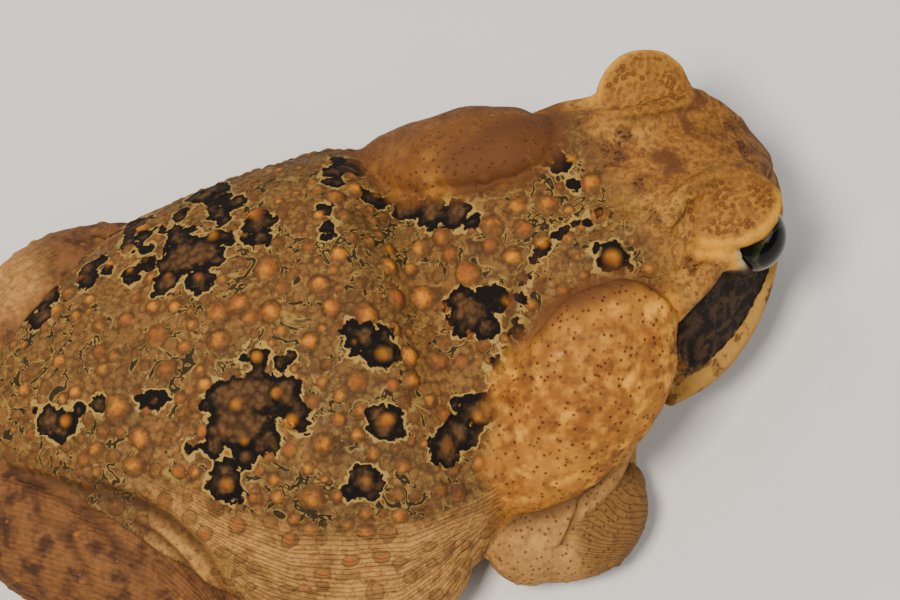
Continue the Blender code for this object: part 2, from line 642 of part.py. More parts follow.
def main():
    for old in list(bpy.data.objects):
        bpy.data.objects.remove(old)
    parts = bpy.data.collections.new("cane_toad")
    cutters = bpy.data.collections.new("cutters")
    cutters.hide_render = True
    for group in (parts, cutters):
        bpy.context.scene.collection.children.link(group)

    body = build_body(parts)
    cut_plane(body, (0, 0, 0), (0, 0, -1), cutters)
    room = {"body": swollen(body, GAP, cutters)}
    insets, limbs = {}, {}
    for side in SIDES:
        insets[side] = build_gland(side, parts), build_eye(side, parts), build_eardrum(side, parts)
        limbs[side] = build_arm(side, parts) + build_leg(side, parts)
        for piece in insets[side] + limbs[side]:
            room[piece.name] = swollen(piece, GAP, cutters)

    warts = build_warts(spots_for_warts(body, [b for n, b in room.items() if n != "body"]), cutters)
    boolean(body, warts, "UNION")
    bpy.data.objects.remove(warts)
    keep_largest(body)
    carve_mouth(body, cutters)

    for side in SIDES:
        gland, eye, drum = insets[side]
        fit_clear(body, [room[piece.name] for piece in (gland, eye, drum)])
        fit_clear(drum, [room[gland.name]])
        upper, fore, hand, thigh, shank, foot = limbs[side]
        for piece, against in (
            (upper, ("body", gland.name)),
            (fore, ("body", gland.name, upper.name)),
            (hand, ("body", fore.name)),
            (thigh, ("body",)),
            (shank, ("body", thigh.name)),
            (foot, ("body", thigh.name, shank.name)),
        ):
            fit_clear(piece, [room[other] for other in against])
            cut_plane(piece, (0, 0, 0), (0, 0, -1), cutters)
            keep_largest(piece)
    for block in room.values():
        bpy.data.objects.remove(block)

    neck = bent((NECK_AT, 0, 20))
    turned = math.radians(BEND_DEG)
    split(body, neck, (math.cos(turned), math.sin(turned), 0), ("torso", "head"), cutters)
    finish(parts)


def finish(parts):
    """Colours every part, shades it smooth and sets the middle of the foot of the toad at the origin."""
    low = np.array([1e9] * 3)
    high = -low
    for part in parts.objects:
        at = np.array([v.co for v in part.data.vertices])
        low, high = np.minimum(low, at.min(axis=0)), np.maximum(high, at.max(axis=0))
    shift = Matrix.Translation((-(low[0] + high[0]) / 2, -(low[1] + high[1]) / 2, -low[2]))
    for part in parts.objects:
        part.data.transform(shift)
        for face in part.data.polygons:
            face.use_smooth = True
        paint = bpy.data.materials.new(part.name)
        paint.use_nodes = True
        shader = paint.node_tree.nodes["Principled BSDF"]
        kind = part.name.split("_")[0]
        shader.inputs["Base Color"].default_value = COLOURS.get(kind, SKIN)
        shader.inputs["Roughness"].default_value = 0.25 if kind == "eye" else 0.6
        part.data.materials.clear()
        part.data.materials.append(paint)


SKIN = (0.23, 0.13, 0.055, 1)
COLOURS = {
    "parotoid": (0.33, 0.16, 0.05, 1),
    "eye": (0.02, 0.018, 0.012, 1),
    "eardrum": (0.12, 0.08, 0.05, 1),
    "head": (0.27, 0.13, 0.05, 1),
    "forearm": (0.33, 0.23, 0.12, 1),
    "hand": (0.33, 0.23, 0.12, 1),
}

main()
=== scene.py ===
"""Dresses the cane toad: one skin with warts, folds and markings over the whole body, and detailed eyes.

Sizes are in millimetres along a straight spine, as in the part: s runs from vent to snout, y to the toad's
left and z up from the floor. bend() turns the head and neck, and the whole is then set where the frame is.
"""

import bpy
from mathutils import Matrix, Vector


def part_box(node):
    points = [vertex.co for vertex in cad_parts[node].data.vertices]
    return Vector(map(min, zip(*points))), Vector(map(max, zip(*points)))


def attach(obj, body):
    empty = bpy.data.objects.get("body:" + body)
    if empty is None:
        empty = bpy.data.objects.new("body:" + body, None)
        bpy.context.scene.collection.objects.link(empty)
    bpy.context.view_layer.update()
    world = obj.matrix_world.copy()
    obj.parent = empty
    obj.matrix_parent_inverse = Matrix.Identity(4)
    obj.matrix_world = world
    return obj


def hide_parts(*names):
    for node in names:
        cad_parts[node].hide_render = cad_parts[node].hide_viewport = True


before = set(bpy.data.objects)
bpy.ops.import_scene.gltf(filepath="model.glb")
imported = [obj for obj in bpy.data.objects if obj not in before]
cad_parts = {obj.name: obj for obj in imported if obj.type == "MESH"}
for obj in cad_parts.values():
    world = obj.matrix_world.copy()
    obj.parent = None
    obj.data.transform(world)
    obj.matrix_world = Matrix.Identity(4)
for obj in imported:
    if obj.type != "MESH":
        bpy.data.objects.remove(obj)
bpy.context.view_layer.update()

import itertools
import math
import random

import bmesh
import bpy
import numpy as np
from mathutils import Matrix, Vector
from mathutils.bvhtree import BVHTree
from mathutils.kdtree import KDTree

MM = 0.001
SIDES = {1: "left", -1: "right"}

# The body's forms, as in the part.
BEND_FROM, BEND_TO, BEND_DEG = -12.0, 30.0, 15.0
TORSO = (
    (-93, 19, 13, 8, 5),
    (-88, 25, 14, 3.5, 13),
    (-80, 32, 16, 0.8, 20),
    (-68, 38.5, 17, -0.6, 27),
    (-54, 43, 18, -0.6, 33),
    (-38, 46, 18, -0.6, 37.5),
    (-20, 47, 18, -0.6, 39.5),
    (-9, 46.5, 18, -0.6, 39.3),
    (0, 40.5, 18.5, -0.5, 38),
    (8, 43.8, 19, -0.1, 36.5),
    (22, 45, 20, 2, 32),
    (32, 44, 20, 5, 28),
    (40, 41, 21, 9, 23),
)
BACK_POWER, BELLY_POWER = 2.1, 2.9
SAG_FROM, SAG_TO = 14.0, -10.0
SAG_SHIFT, RIGHT_SWELL, LEFT_SWELL = -1.5, 1.13, 0.99
FLANK_AT, FLANK_RADII = (-20, -37.5, 13.8), (16.5, 16, 13.2)
HEAD = (
    (18, 38.0, 8, 38.0, 17, 32, 22.0, 17, 14, 11, 9),
    (25, 42.6, 10, 43.0, 21, 36, 27.0, 18, 18, 8, 5),
    (32, 44.5, 11, 45.0, 22, 37, 30.2, 17.5, 20, 8, 5),
    (39, 44.5, 11, 45.2, 22, 36, 29.8, 17.5, 20, 9, 6),
    (46, 44.0, 10, 44.8, 20, 34, 27.4, 18, 19, 10, 7.5),
    (51.5, 43.0, 9.5, 43.8, 17, 32.5, 24.0, 18.5, 17, 11.5, 9.5),
    (57, 40.5, 8.5, 41.3, 13.5, 31, 19.2, 19, 14, 13.5, 12),
    (61.5, 37.0, 7.0, 37.6, 10.5, 29.5, 14.2, 20, 10.5, 16, 15),
    (65, 33.0, 5.0, 33.2, 7.0, 28, 9.2, 21, 6.8, 18.5, 18),
    (67.3, 28.5, 2.2, 28.3, 3.4, 26, 4.2, 23, 3.0, 21, 20.6),
)
EYE_RADIUS = 6.3
EYE_AT = (54.6, 17.0, 34.8)
GAZE = (0.38, 0.86, 0.3)
# The half width and height of the pupil and the iris's half width, in shares of the eye's radius.
PUPIL_SHAPE, IRIS_SHARE = (0.62, 0.52), 0.78
LID_AT = {1: (51.1, 13.6, 40.0), -1: (52.8, 13.4, 40.9)}
LID_RADII = {1: (8.7, 8.4, 3.9), -1: (9.1, 7.3, 3.2)}
LID_TILT_DEG = {1: 20, -1: 8}
MARGIN_LIFT, RIM_LIFT = 0.5, 0.35
ORBIT_BACK = ((46.5, 15.5, 39.5, 2.4), (48.0, 18.5, 37.6, 2.4), (49.6, 20.8, 35.6, 2.0),
              (50.6, 22.0, 34.2, 1.5))
EARDRUM_AT = (38.0, 26.0, 27.0)
EARDRUM_RADIUS, EARDRUM_RING, EARDRUM_DEPTH = 3.9, 0.4, 0.3
CANTHAL_RIDGE = ((65, 4.6, 31.5, 1.3), (62, 7.2, 36.0, 1.7), (58.5, 9.0, 40.0, 1.9))
ORBIT_CREST = ((59, 8.6, 40.6, 1.8), (53, 8.2, 43.6, 1.8), (46, 9.0, 45.0, 1.8), (41, 12, 45.0, 1.7))
EAR_RIDGE = ((48.5, 18.5, 38.5, 2.0), (43.5, 21.0, 38.0, 2.2), (38.5, 22.5, 37.5, 2.4), (34, 23.5, 37.0, 2.6))
EAR_IN = {1: 3.5, -1: 0.0}
UPPER_LIP = ((31, 30.2, 17.5, 1.3), (39, 29.8, 17.6, 1.4), (46, 27.4, 18.2, 1.4), (53, 22.9, 18.8, 1.4),
             (60, 16.2, 19.8, 1.3), (64.8, 9.6, 21.2, 1.2), (67.2, 4.0, 22.8, 1.1))
PAROTOID = ((30.5, 21.5, 41.2, 7.6, 3.8), (26.5, 23.6, 39.8, 11.4, 5.8), (19.5, 27.6, 35.6, 13.0, 7.4),
            (12.5, 31.4, 29.8, 11.8, 7.4), (6, 34.2, 25, 8.6, 6.2), (1.5, 35.8, 21.8, 4.8, 4.0))
GLAND_OUT, GLAND_BACK = {1: -6.5, -1: 0.3}, {1: 7.0, -1: 0.0}
PAROTOID_OUT = (0.1, 0.62, 0.78)
NOSTRIL_AT, NOSTRIL_RADIUS = (64.4, 5.6, 30.6), 1.0
NOSTRIL_RING, NOSTRIL_DEPTH = 0.35, 1.3
MOUTH_DROP, MOUTH_DEPTH, MOUTH_HALF = 1.5, 1.1, 0.42
SNOUT_AT, SNOUT_RADII = (65.0, 0, 25.2), (3.4, 5.2, 4.4)
SHOULDER = ((20, 22, 19, 11), (12, 28, 17, 10))
UPPER_ARM = ((20, 26, 18, 8.5), (12, 34, 15.5, 8.8), (5, 40, 12.8, 8.7), (4.0, 41.2, 11.8, 8.3))
FOREARM = ((5.5, 42.2, 10.8, 7.2), (9.5, 43, 10.6, 7.8), (13, 42.6, 9.8, 7.8), (16.4, 39.8, 8.4, 7),
           (18.8, 36.2, 6, 5.2))
PALM = ((19, 34.8, 4.6, 3.6, 3.2), (20.5, 29, 3.0, 4.6, 2.6), (22, 25.5, 2.2, 4.4, 2.2))
FINGERS = (
    ((20.5, 27, 1.7, 1.8), (19.8, 22.5, 1.6, 1.6), (19.4, 18, 1.3, 1.2)),
    ((22.5, 25.5, 1.8, 1.9), (23.6, 20.5, 1.6, 1.6), (24.4, 15.5, 1.3, 1.2)),
    ((24, 26, 1.8, 1.9), (27.5, 21.5, 1.6, 1.6), (30.5, 17, 1.3, 1.2)),
    ((24, 27.5, 1.7, 1.8), (28.5, 25, 1.6, 1.5), (32.5, 22, 1.3, 1.2)),
)
THIGH = ((-83, 10, 18, 11), (-74, 18, 20.5, 13.5), (-64, 26, 20, 14), (-55, 34, 17.5, 12),
         (-51, 37.5, 15.5, 9.6))
SHANK = ((-52, 39, 13.5, 7.0), (-57, 43.5, 11, 8.4), (-67, 45, 9.5, 8.4), (-79, 40.5, 8, 6.6),
         (-89, 34, 6.5, 5.0))
TARSUS = ((-87, 35.5, 5.2, 3.6), (-82, 41, 4.2, 4.4), (-75, 46, 3.4, 4.4, 3.2), (-68, 48.5, 2.6, 4.6, 2.6),
          (-63, 49.5, 2.2, 4.8, 2.3))
TOE_ROOT = (-66, 49)
TOES = ((-34, 16, 0.62), (-16, 23, 0.62), (2, 31, 0.56), (17, 39, 0.5), (33, 29, 0.66))
TOE_HEIGHTS, TOE_RADII = (2.0, 1.8, 1.3), (2.1, 1.7, 1.2)
TUBERCLE_AT, TUBERCLE_RADII = (-65.5, 44.4, 1.6), (3.0, 1.5, 1.7)
ARM_OUT, LEG_OUT, FOOT_OUT = {1: -6.0, -1: 0.5}, {1: -12.0, -1: 3.0}, {1: -9.0, -1: 3.0}
FOOT_TURN, FOOT_SPREAD = {1: -16, -1: 0}, {1: 0.75, -1: 1.0}

# How finely the skin is made, how much its forms and then the whole are softened, how far off a form still
# counts, and where the rings of a tube's rounded ends lie, in shares of its radius.
FORM_VOXEL, SKIN_VOXEL = 0.6, 0.4
BODY_SOFT, GLAND_SOFT, LIMB_SOFT, FOOT_SOFT, WHOLE_SOFT = 5.0, 6.0, 2.6, 0.9, 0.7
GLAND_REACH, FORM_REACH = 5.0, 2.5
CAP_SHARES = (0.97, 0.85, 0.6, 0.3)

# The photo's view, its focal length in pixels and its middle.
VIEW_HEADING, VIEW_ELEVATION, VIEW_ROLL = 89.5, 64.65, -13.3
VIEW_TARGET, VIEW_DISTANCE = (4.4, -0.5, 30.0), 439.8
VIEW_FOCAL, VIEW_CENTRE = 2500.0, (450, 300)
LENS, SENSOR = 100, 36

# Warts of the back by size: base radius and height, and their places as the photo's pixels across and down.
WART_SIZES = {"big": (2.5, 1.1), "mid": (1.9, 0.85), "small": (1.35, 0.55)}
MAIN_WARTS = {
    "big": ((422, 298), (468, 274), (366, 315), (382, 355), (512, 391), (386, 421), (445, 445), (367, 480),
            (312, 498), (257, 216), (268, 269), (227, 484), (612, 258), (118, 408)),
    "mid": ((339, 254), (388, 267), (492, 225), (524, 229), (443, 236), (419, 249), (331, 307), (507, 301),
            (543, 244), (319, 284), (411, 380), (357, 382), (310, 342), (409, 357), (512, 257), (396, 298),
            (348, 363), (438, 361), (245, 441), (548, 205), (215, 238), (218, 313), (157, 336), (257, 357),
            (277, 393), (166, 370), (57, 311), (67, 421), (134, 465), (517, 207), (590, 183), (600, 215),
            (450, 255), (490, 245), (239, 303), (270, 312), (218, 340), (143, 231), (324, 444), (140, 438),
            (335, 198), (425, 185), (258, 395), (292, 420), (478, 417), (355, 190), (236, 405)),
    "small": ((199, 277), (169, 277), (184, 347), (99, 351), (59, 361), (82, 279), (203, 431), (164, 500),
              (403, 467), (365, 532), (400, 515), (338, 419), (357, 435), (382, 557), (351, 561), (322, 573),
              (304, 589), (277, 498), (205, 533), (96, 449), (83, 459), (102, 370), (375, 197), (320, 215),
              (485, 180), (410, 270), (393, 385), (340, 395), (325, 390), (430, 400), (375, 430), (478, 463),
              (440, 490), (430, 493), (295, 420), (75, 392), (25, 390), (205, 385), (152, 307), (175, 307),
              (125, 320), (90, 300), (130, 270), (110, 265), (192, 325), (250, 318), (100, 325), (178, 472),
              (237, 525), (290, 540), (290, 450)),
}
FILL_WARTS, FILL_RADII, FILL_LIFT = 400, (0.8, 1.6), 0.36
LIMB_WARTS, LIMB_RADII = 260, (0.5, 1.25)
LID_KNOBS, LID_KNOB_RADII, LID_KNOB_LIFT = 110, (0.34, 0.56), 0.18
GRAINS, GRAIN_RADII, GRAIN_LIFT = 4200, (0.4, 0.75), 0.07
# Draws for each knob and each wart of the fill, at most.
KNOB_TRIES, WART_TRIES = 12, 8
SEED = 11

# Dark patches of the back, each as round spots: the photo's pixels across and down, and the radius.
PATCHES = (
    (405, 210, 15), (430, 212, 19), (455, 215, 17), (472, 222, 11), (394, 199, 7), (440, 192, 7),
    (182, 258, 24), (205, 252, 22), (222, 240, 12), (165, 282, 15), (200, 280, 16), (155, 292, 6),
    (182, 240, 12),
    (232, 402, 26), (258, 398, 25), (284, 395, 20), (298, 410, 14), (245, 425, 28), (222, 425, 18),
    (262, 440, 16),
    (212, 445, 12), (245, 455, 12), (225, 470, 13), (226, 486, 19), (206, 405, 8), (300, 424, 10),
    (192, 450, 7),
    (470, 312, 22), (455, 300, 11), (485, 325, 14), (495, 300, 14), (462, 330, 8),
    (520, 300, 7), (517, 330, 9), (513, 355, 11), (512, 388, 19), (495, 395, 14), (478, 410, 20),
    (460, 433, 18),
    (445, 447, 19), (500, 367, 11), (455, 405, 7),
    (48, 420, 14), (66, 422, 15), (60, 432, 14), (78, 410, 8), (35, 410, 5),
    (350, 330, 9), (365, 340, 16), (382, 353, 17), (385, 335, 10), (355, 345, 9), (371, 355, 12),
    (257, 224, 16), (262, 236, 13), (249, 238, 7), (268, 241, 7),
    (325, 210, 8), (328, 228, 9), (322, 238, 6),
    (386, 422, 19), (399, 430, 7), (371, 415, 5),
    (366, 482, 17), (352, 492, 7),
    (612, 259, 17), (598, 250, 5), (628, 268, 5),
    (260, 357, 12), (278, 362, 7), (245, 358, 6), (291, 356, 4),
    (150, 402, 11), (163, 400, 7), (138, 396, 6), (99, 404, 6),
    (545, 150, 15), (560, 166, 8), (525, 142, 8), (572, 185, 8),
    (600, 217, 4), (588, 221, 4), (576, 225, 4), (565, 230, 4), (555, 236, 4), (547, 244, 4), (540, 252, 4),
    (534, 262, 4), (528, 273, 4), (521, 284, 4),
)
HIDDEN_PATCHES, HIDDEN_SPOTS = 16, 6
# Dark stains of the head, in the same way.
STAINS = (
    (612, 150, 12), (626, 134, 9), (600, 168, 7), (570, 122, 9), (585, 145, 8), (700, 235, 10), (716, 256, 9),
    (742, 148, 8), (690, 190, 6), (730, 125, 7), (560, 200, 6), (640, 185, 5), (690, 262, 8), (655, 215, 6),
)
# The flank's wrinkles hang in arcs from the groin to the armpit: five of them as the photo's pixels, and how
# many more lie between each and the next. The thigh's lie a step apart from its upper fold down, and its tan
# part lies round a pixel. The forearm's fine rings lie round a place at the elbow, a step apart.
WRINKLES = (
    ((120, 455), (180, 478), (230, 497), (290, 510), (350, 515), (420, 508), (470, 490), (520, 462)),
    ((120, 478), (180, 502), (230, 528), (290, 548), (350, 552), (410, 548), (450, 530), (503, 506)),
    ((120, 493), (165, 512), (205, 545), (250, 580), (300, 592), (350, 597), (400, 590), (440, 566),
     (475, 535), (503, 508)),
    ((120, 498), (165, 518), (200, 550), (232, 596), (270, 640), (330, 655), (400, 650), (440, 615),
     (465, 580), (485, 545), (503, 510)),
    ((120, 502), (165, 524), (200, 560), (232, 610), (260, 680), (330, 720), (400, 700), (440, 670),
     (470, 625), (484, 580), (495, 545), (505, 512)),
)
WRINKLE_COUNTS, WRINKLE_DEPTH = (8, 10, 12, 11), 0.34
THIGH_STEP, TAN_AT = 5.5, (0, 272)
ELBOW, COIL_STEP = (2.0, 3.0), 0.42

# Skin folds as the photo's pixels, with depth and half width in millimetres; each crease is also darkened as
# painted shade.
FOLDS = (
    (((0, 468), (60, 485), (120, 500), (165, 520), (200, 552), (232, 598)), 1.5, 1.3),
    (((0, 452), (55, 467), (100, 484), (140, 497)), 0.5, 0.8),
    (((40, 488), (85, 512), (122, 548), (150, 590)), 0.8, 1.0),
    (((20, 500), (60, 530), (80, 565), (95, 598)), 0.5, 0.9),
    (((100, 505), (150, 530), (185, 565), (205, 598)), 0.7, 0.9),
    (((545, 243), (525, 275), (512, 300), (514, 345), (523, 385)), 0.7, 0.9),
    (((583, 494), (579, 508), (574, 522), (567, 538), (556, 552)), 0.7, 0.6),
    (((532, 300), (527, 330), (530, 365), (527, 400)), 0.35, 0.7),
    (((604, 164), (620, 164), (640, 166)), 0.5, 0.5),
    (((684, 193), (698, 187), (716, 183), (738, 178)), 0.55, 0.6),
    (((604, 116), (625, 118), (650, 117), (690, 108)), 0.5, 0.6),
    (((640, 240), (660, 228), (680, 222), (692, 206)), 0.4, 0.8),
    (((742, 150), (752, 163), (756, 178)), 0.35, 0.7),
)

# The floor's half width and two tones, and the lights: place in metres, size, power and colour.
FLOOR_HALF, FLOOR_COLOURS = 900, ((0.62, 0.6, 0.57, 1), (0.68, 0.66, 0.63, 1))
LIGHTS = (
    ("key", (-0.2, -0.22, 0.78), 0.2, 10.0, (1.0, 0.93, 0.84)),
    ("fill", (0.6, -0.3, 0.5), 0.5, 2.6, (0.96, 0.97, 1.0)),
    ("back", (-0.3, 0.6, 0.5), 0.4, 2.6, (1.0, 0.96, 0.9)),
)
SURROUND = (0.8, 0.85, 0.9, 1), 0.3


def curve_point(a, b, c, d, t):
    """A point of the Catmull-Rom curve from b to c, at t from 0 to 1."""
    return 0.5 * (2 * b + (c - a) * t + (2 * a - 5 * b + 4 * c - d) * t**2 + (3 * b - a - 3 * c + d) * t**3)


def spline(rows, steps):
    """Rows of numbers run through a Catmull-Rom curve, steps points to each span."""
    rows = np.array(rows, float)
    ends = np.vstack([2 * rows[0] - rows[1], rows, 2 * rows[-1] - rows[-2]])
    made = [curve_point(*ends[i : i + 4], t) for i in range(len(rows) - 1) for t in np.arange(steps) / steps]
    return np.array(made + [rows[-1]])


def turns(count):
    """Angles of a full turn in equal steps."""
    return np.arange(count) * 2 * math.pi / count


def unit(way):
    return way / np.linalg.norm(way)


def bell(value, middle, width):
    """A smooth hill of height 1 round a middle value."""
    return np.exp(-(((value - middle) / width) ** 2))


def bend(points):
    """Points along the straight spine, turned with the neck and head."""
    p = np.array(points, float).reshape(-1, 3)
    turn = math.radians(BEND_DEG)
    length = BEND_TO - BEND_FROM
    angle = turn * np.clip((p[:, 0] - BEND_FROM) / length, 0, 1)
    radius = length / turn
    past = np.clip(p[:, 0] - BEND_TO, 0, None)
    before = np.minimum(p[:, 0], BEND_FROM)
    x = before + radius * np.sin(angle) + past * np.cos(angle) - p[:, 1] * np.sin(angle)
    y = radius * (1 - np.cos(angle)) + past * np.sin(angle) + p[:, 1] * np.cos(angle)
    return np.column_stack([x, y, p[:, 2]])


def unbend(points):
    """The reverse of bend."""
    turn = math.radians(BEND_DEG)
    radius = (BEND_TO - BEND_FROM) / turn
    x, y, z = (points[:, 0] - BEND_FROM, points[:, 1], points[:, 2])
    s = BEND_FROM + radius * np.arctan2(x, radius - y)
    out = radius - np.hypot(x, radius - y)
    past_x, past_y = x - radius * math.sin(turn), y - radius * (1 - math.cos(turn))
    ahead = past_x * math.cos(turn) + past_y * math.sin(turn)
    across = past_y * math.cos(turn) - past_x * math.sin(turn)
    s = np.where(ahead > 0, BEND_TO + ahead, np.where(x < 0, points[:, 0], s))
    out = np.where(ahead > 0, across, np.where(x < 0, y, out))
    return np.column_stack([s, out, z])


def mirrored(rows, side, out=0.0):
    """Rows of the left side moved outwards, on either side."""
    return [(r[0], side * (r[1] + out)) + tuple(r[2:]) for r in rows]


def on_side(at, side):
    """A place of the left side as it lies in the bent body, on either side."""
    return bend(mirrored((at,), side))[0]


def linked(name, data):
    """A new object of the scene."""
    made = bpy.data.objects.new(name, data)
    bpy.context.scene.collection.objects.link(made)
    return made


def mesh_object(name, points, faces):
    """A mesh object from points in millimetres."""
    mesh = bpy.data.meshes.new(name)
    mesh.from_pydata([tuple(float(c) * MM for c in p) for p in points], [], faces)
    mesh.update()
    return linked(name, mesh)


def closed_body(name, points, faces):
    """A mesh object whose faces are turned outwards."""
    made = mesh_object(name, points, faces)
    work = bmesh.new()
    work.from_mesh(made.data)
    bmesh.ops.recalc_face_normals(work, faces=work.faces)
    if work.calc_volume(signed=True) < 0:
        bmesh.ops.reverse_faces(work, faces=work.faces)
    work.to_mesh(made.data)
    work.free()
    return made


def icosphere(level):
    """The points and faces of a ball of radius 1."""
    work = bmesh.new()
    bmesh.ops.create_icosphere(work, subdivisions=level, radius=1)
    points = [v.co.copy() for v in work.verts]
    faces = [[v.index for v in f.verts] for f in work.faces]
    work.free()
    return points, faces


def loft(name, rings):
    """A closed body through rings of equal count, each end closed by a fan to its middle."""
    rings = np.array(rings, float)
    count, around = rings.shape[:2]
    points = rings.reshape(-1, 3).tolist()
    faces = [
        (i + j, i + (j + 1) % around, i + around + (j + 1) % around, i + around + j)
        for i in range(0, (count - 1) * around, around)
        for j in range(around)
    ]
    for start, flip in ((0, True), ((count - 1) * around, False)):
        middle = len(points)
        points.append(rings[0 if flip else -1].mean(axis=0).tolist())
        for j in range(around):
            fan = (start + j, start + (j + 1) % around, middle)
            faces.append(fan[::-1] if flip else fan)
    return closed_body(name, points, faces)


def torso_ring(row, around=64):
    s, back, wide, belly, half = row
    c, z = np.cos(turns(around)), np.sin(turns(around))
    power = np.where(z >= 0, BACK_POWER, BELLY_POWER)
    y = half * np.sign(c) * np.abs(c) ** (2 / power)
    rise = np.abs(z) ** (2 / power)
    height = np.where(z >= 0, wide + (back - wide) * rise, wide - (wide - belly) * rise)
    sag = min(max((SAG_FROM - s) / (SAG_FROM - SAG_TO), 0), 1)
    swell = np.where(y < 0, RIGHT_SWELL, LEFT_SWELL)
    y = y * (1 + sag * (swell - 1)) + sag * SAG_SHIFT
    return np.column_stack([np.full(around, s), y, height])


def head_ring(row, steps=6):
    s, top, crest_y, crest_z, cheek_y, cheek_z, lip_y, lip_z, throat_y, throat_z, under = row
    half = [(0, top), (crest_y * 0.55, top), (crest_y, crest_z), (cheek_y, cheek_z), (lip_y, lip_z),
            (lip_y - 1.2, lip_z - 3.0 * (lip_z - under) / 12), (throat_y, throat_z), (throat_y * 0.5, under),
            (0, under)]
    full = half + [(-y, z) for y, z in half[-2:0:-1]]
    closed = np.array(full[-2:] + full + full[:2], float)
    spans = range(1, len(full) + 1)
    made = np.array([curve_point(*closed[i : i + 4], t) for i in spans for t in np.arange(steps) / steps])
    return np.column_stack([np.full(len(made), s), made])


def tube(rows, up=(0, 0, 1), around=32, steps=8, curved=True):
    """A limb-like body: rows of (x, y, z, half width, half height), rounded at both ends."""
    rows = [tuple(r) + (r[3],) if len(r) == 4 else r for r in rows]
    path = spline(rows, steps)
    centre, radii = path[:, :3], path[:, 3:]
    if curved:
        centre = bend(centre)
    along = np.gradient(centre, axis=0)
    along /= np.linalg.norm(along, axis=1)[:, None]

    def ring(at, way, half_width, half_height):
        side = unit(np.cross(way, up))
        high = np.cross(side, way)
        turn = turns(around)
        return at + half_width * np.outer(np.cos(turn), side) + half_height * np.outer(np.sin(turn), high)

    def cap(end, order):
        made = []
        for u in CAP_SHARES:
            back = -order * u * min(radii[end]) * along[end]
            made.append(ring(centre[end] + back, along[end], *(radii[end] * math.sqrt(1 - u * u))))
        return made

    middle = [ring(c, a, *r) for c, a, r in zip(centre, along, radii)]
    return loft("tube", cap(0, 1) + middle + cap(-1, -1)[::-1])


def ellipsoid(at, radii, tilt_deg=0, curved=True, level=4):
    """An ellipsoid at a point of the spine's frame, tilted about the spine."""
    ball, faces = icosphere(level)
    turn = Matrix.Rotation(math.radians(tilt_deg), 3, "X")
    points = [tuple(turn @ Vector([c * r for c, r in zip(p, radii)]) + Vector(at)) for p in ball]
    return closed_body("ellipsoid", bend(points) if curved else points, faces)


def bake(obj):
    """Applies all modifiers of obj."""
    graph = bpy.context.evaluated_depsgraph_get()
    mesh = bpy.data.meshes.new_from_object(obj.evaluated_get(graph))
    obj.modifiers.clear()
    obj.data = mesh


def joined(name, pieces, keep=False):
    """One object that holds all the pieces, which are removed unless they are kept."""
    work = bmesh.new()
    for piece in pieces:
        work.from_mesh(piece.data)
        if not keep:
            bpy.data.objects.remove(piece)
    mesh = bpy.data.meshes.new(name)
    work.to_mesh(mesh)
    work.free()
    return linked(name, mesh)


def smoothed(obj, voxel, soft):
    """Fuses the overlapping bodies in obj into one skin, softened alike at any voxel size."""
    remesh = obj.modifiers.new("fuse", "REMESH")
    remesh.mode = "VOXEL"
    remesh.voxel_size = voxel * MM
    smooth = obj.modifiers.new("soften", "SMOOTH")
    smooth.factor = 0.5
    smooth.iterations = round(soft / voxel**2)
    bake(obj)
    return obj


def build_gland(side):
    last = len(PAROTOID) - 1
    rows = [
        (r[0] - GLAND_BACK[side] * i / last, r[1] + GLAND_OUT[side] * (1 - 0.4 * i / last)) + r[2:]
        for i, r in enumerate(PAROTOID)
    ]
    out = mirrored((PAROTOID_OUT,), side)[0]
    return smoothed(tube(mirrored(rows, side), up=out), FORM_VOXEL, GLAND_SOFT)


def build_body():
    pieces = [
        loft("trunk", [bend(torso_ring(r)) for r in spline(TORSO, 8)]),
        loft("skull", [bend(head_ring(r)) for r in spline(HEAD, 6)]),
        ellipsoid(SNOUT_AT, SNOUT_RADII),
        ellipsoid(FLANK_AT, FLANK_RADII),
    ]
    for side in SIDES:
        ear = mirrored(EAR_RIDGE, 1, -EAR_IN[side])
        for rows in (CANTHAL_RIDGE, ORBIT_CREST, ORBIT_BACK, ear, UPPER_LIP):
            pieces.append(tube(mirrored(rows, side), around=16))
        lid_at = mirrored((LID_AT[side],), side)[0]
        pieces.append(ellipsoid(lid_at, LID_RADII[side], tilt_deg=side * LID_TILT_DEG[side]))
        pieces.append(tube(mirrored(SHOULDER, side)))
    return smoothed(joined("body", pieces), FORM_VOXEL, BODY_SOFT)


def build_arm(side):
    out = ARM_OUT[side]
    palm, upper_arm, forearm = (tube(mirrored(rows, side, out)) for rows in (PALM, UPPER_ARM, FOREARM))
    fingers = [tube(mirrored(rows, side, out), around=16) for rows in FINGERS]
    return {
        "upper_arm": smoothed(upper_arm, FORM_VOXEL, LIMB_SOFT),
        "forearm": smoothed(forearm, FORM_VOXEL, LIMB_SOFT),
        "hand": smoothed(joined("hand", [palm] + fingers), SKIN_VOXEL, FOOT_SOFT),
    }


def web(toes, side, top=1.9, low=-0.4):
    """Skin between the toes, as a plate scalloped in between."""
    plates = []
    for (way_a, long_a, web_a), (way_b, long_b, web_b) in zip(toes, toes[1:]):
        root = np.array(TOE_ROOT)
        a = root + long_a * web_a * np.array([math.cos(way_a), math.sin(way_a)])
        b = root + long_b * web_b * np.array([math.cos(way_b), math.sin(way_b)])
        middle = root + 0.88 * ((a + b) / 2 - root)
        points = [(p[0], side * (p[1] + FOOT_OUT[side]), z) for z in (low, top) for p in (root, a, middle, b)]
        faces = [(0, 1, 2, 3), (4, 5, 6, 7)] + [(i, (i + 1) % 4, 4 + (i + 1) % 4, 4 + i) for i in range(4)]
        plates.append(closed_body("web", points, faces))
    return plates


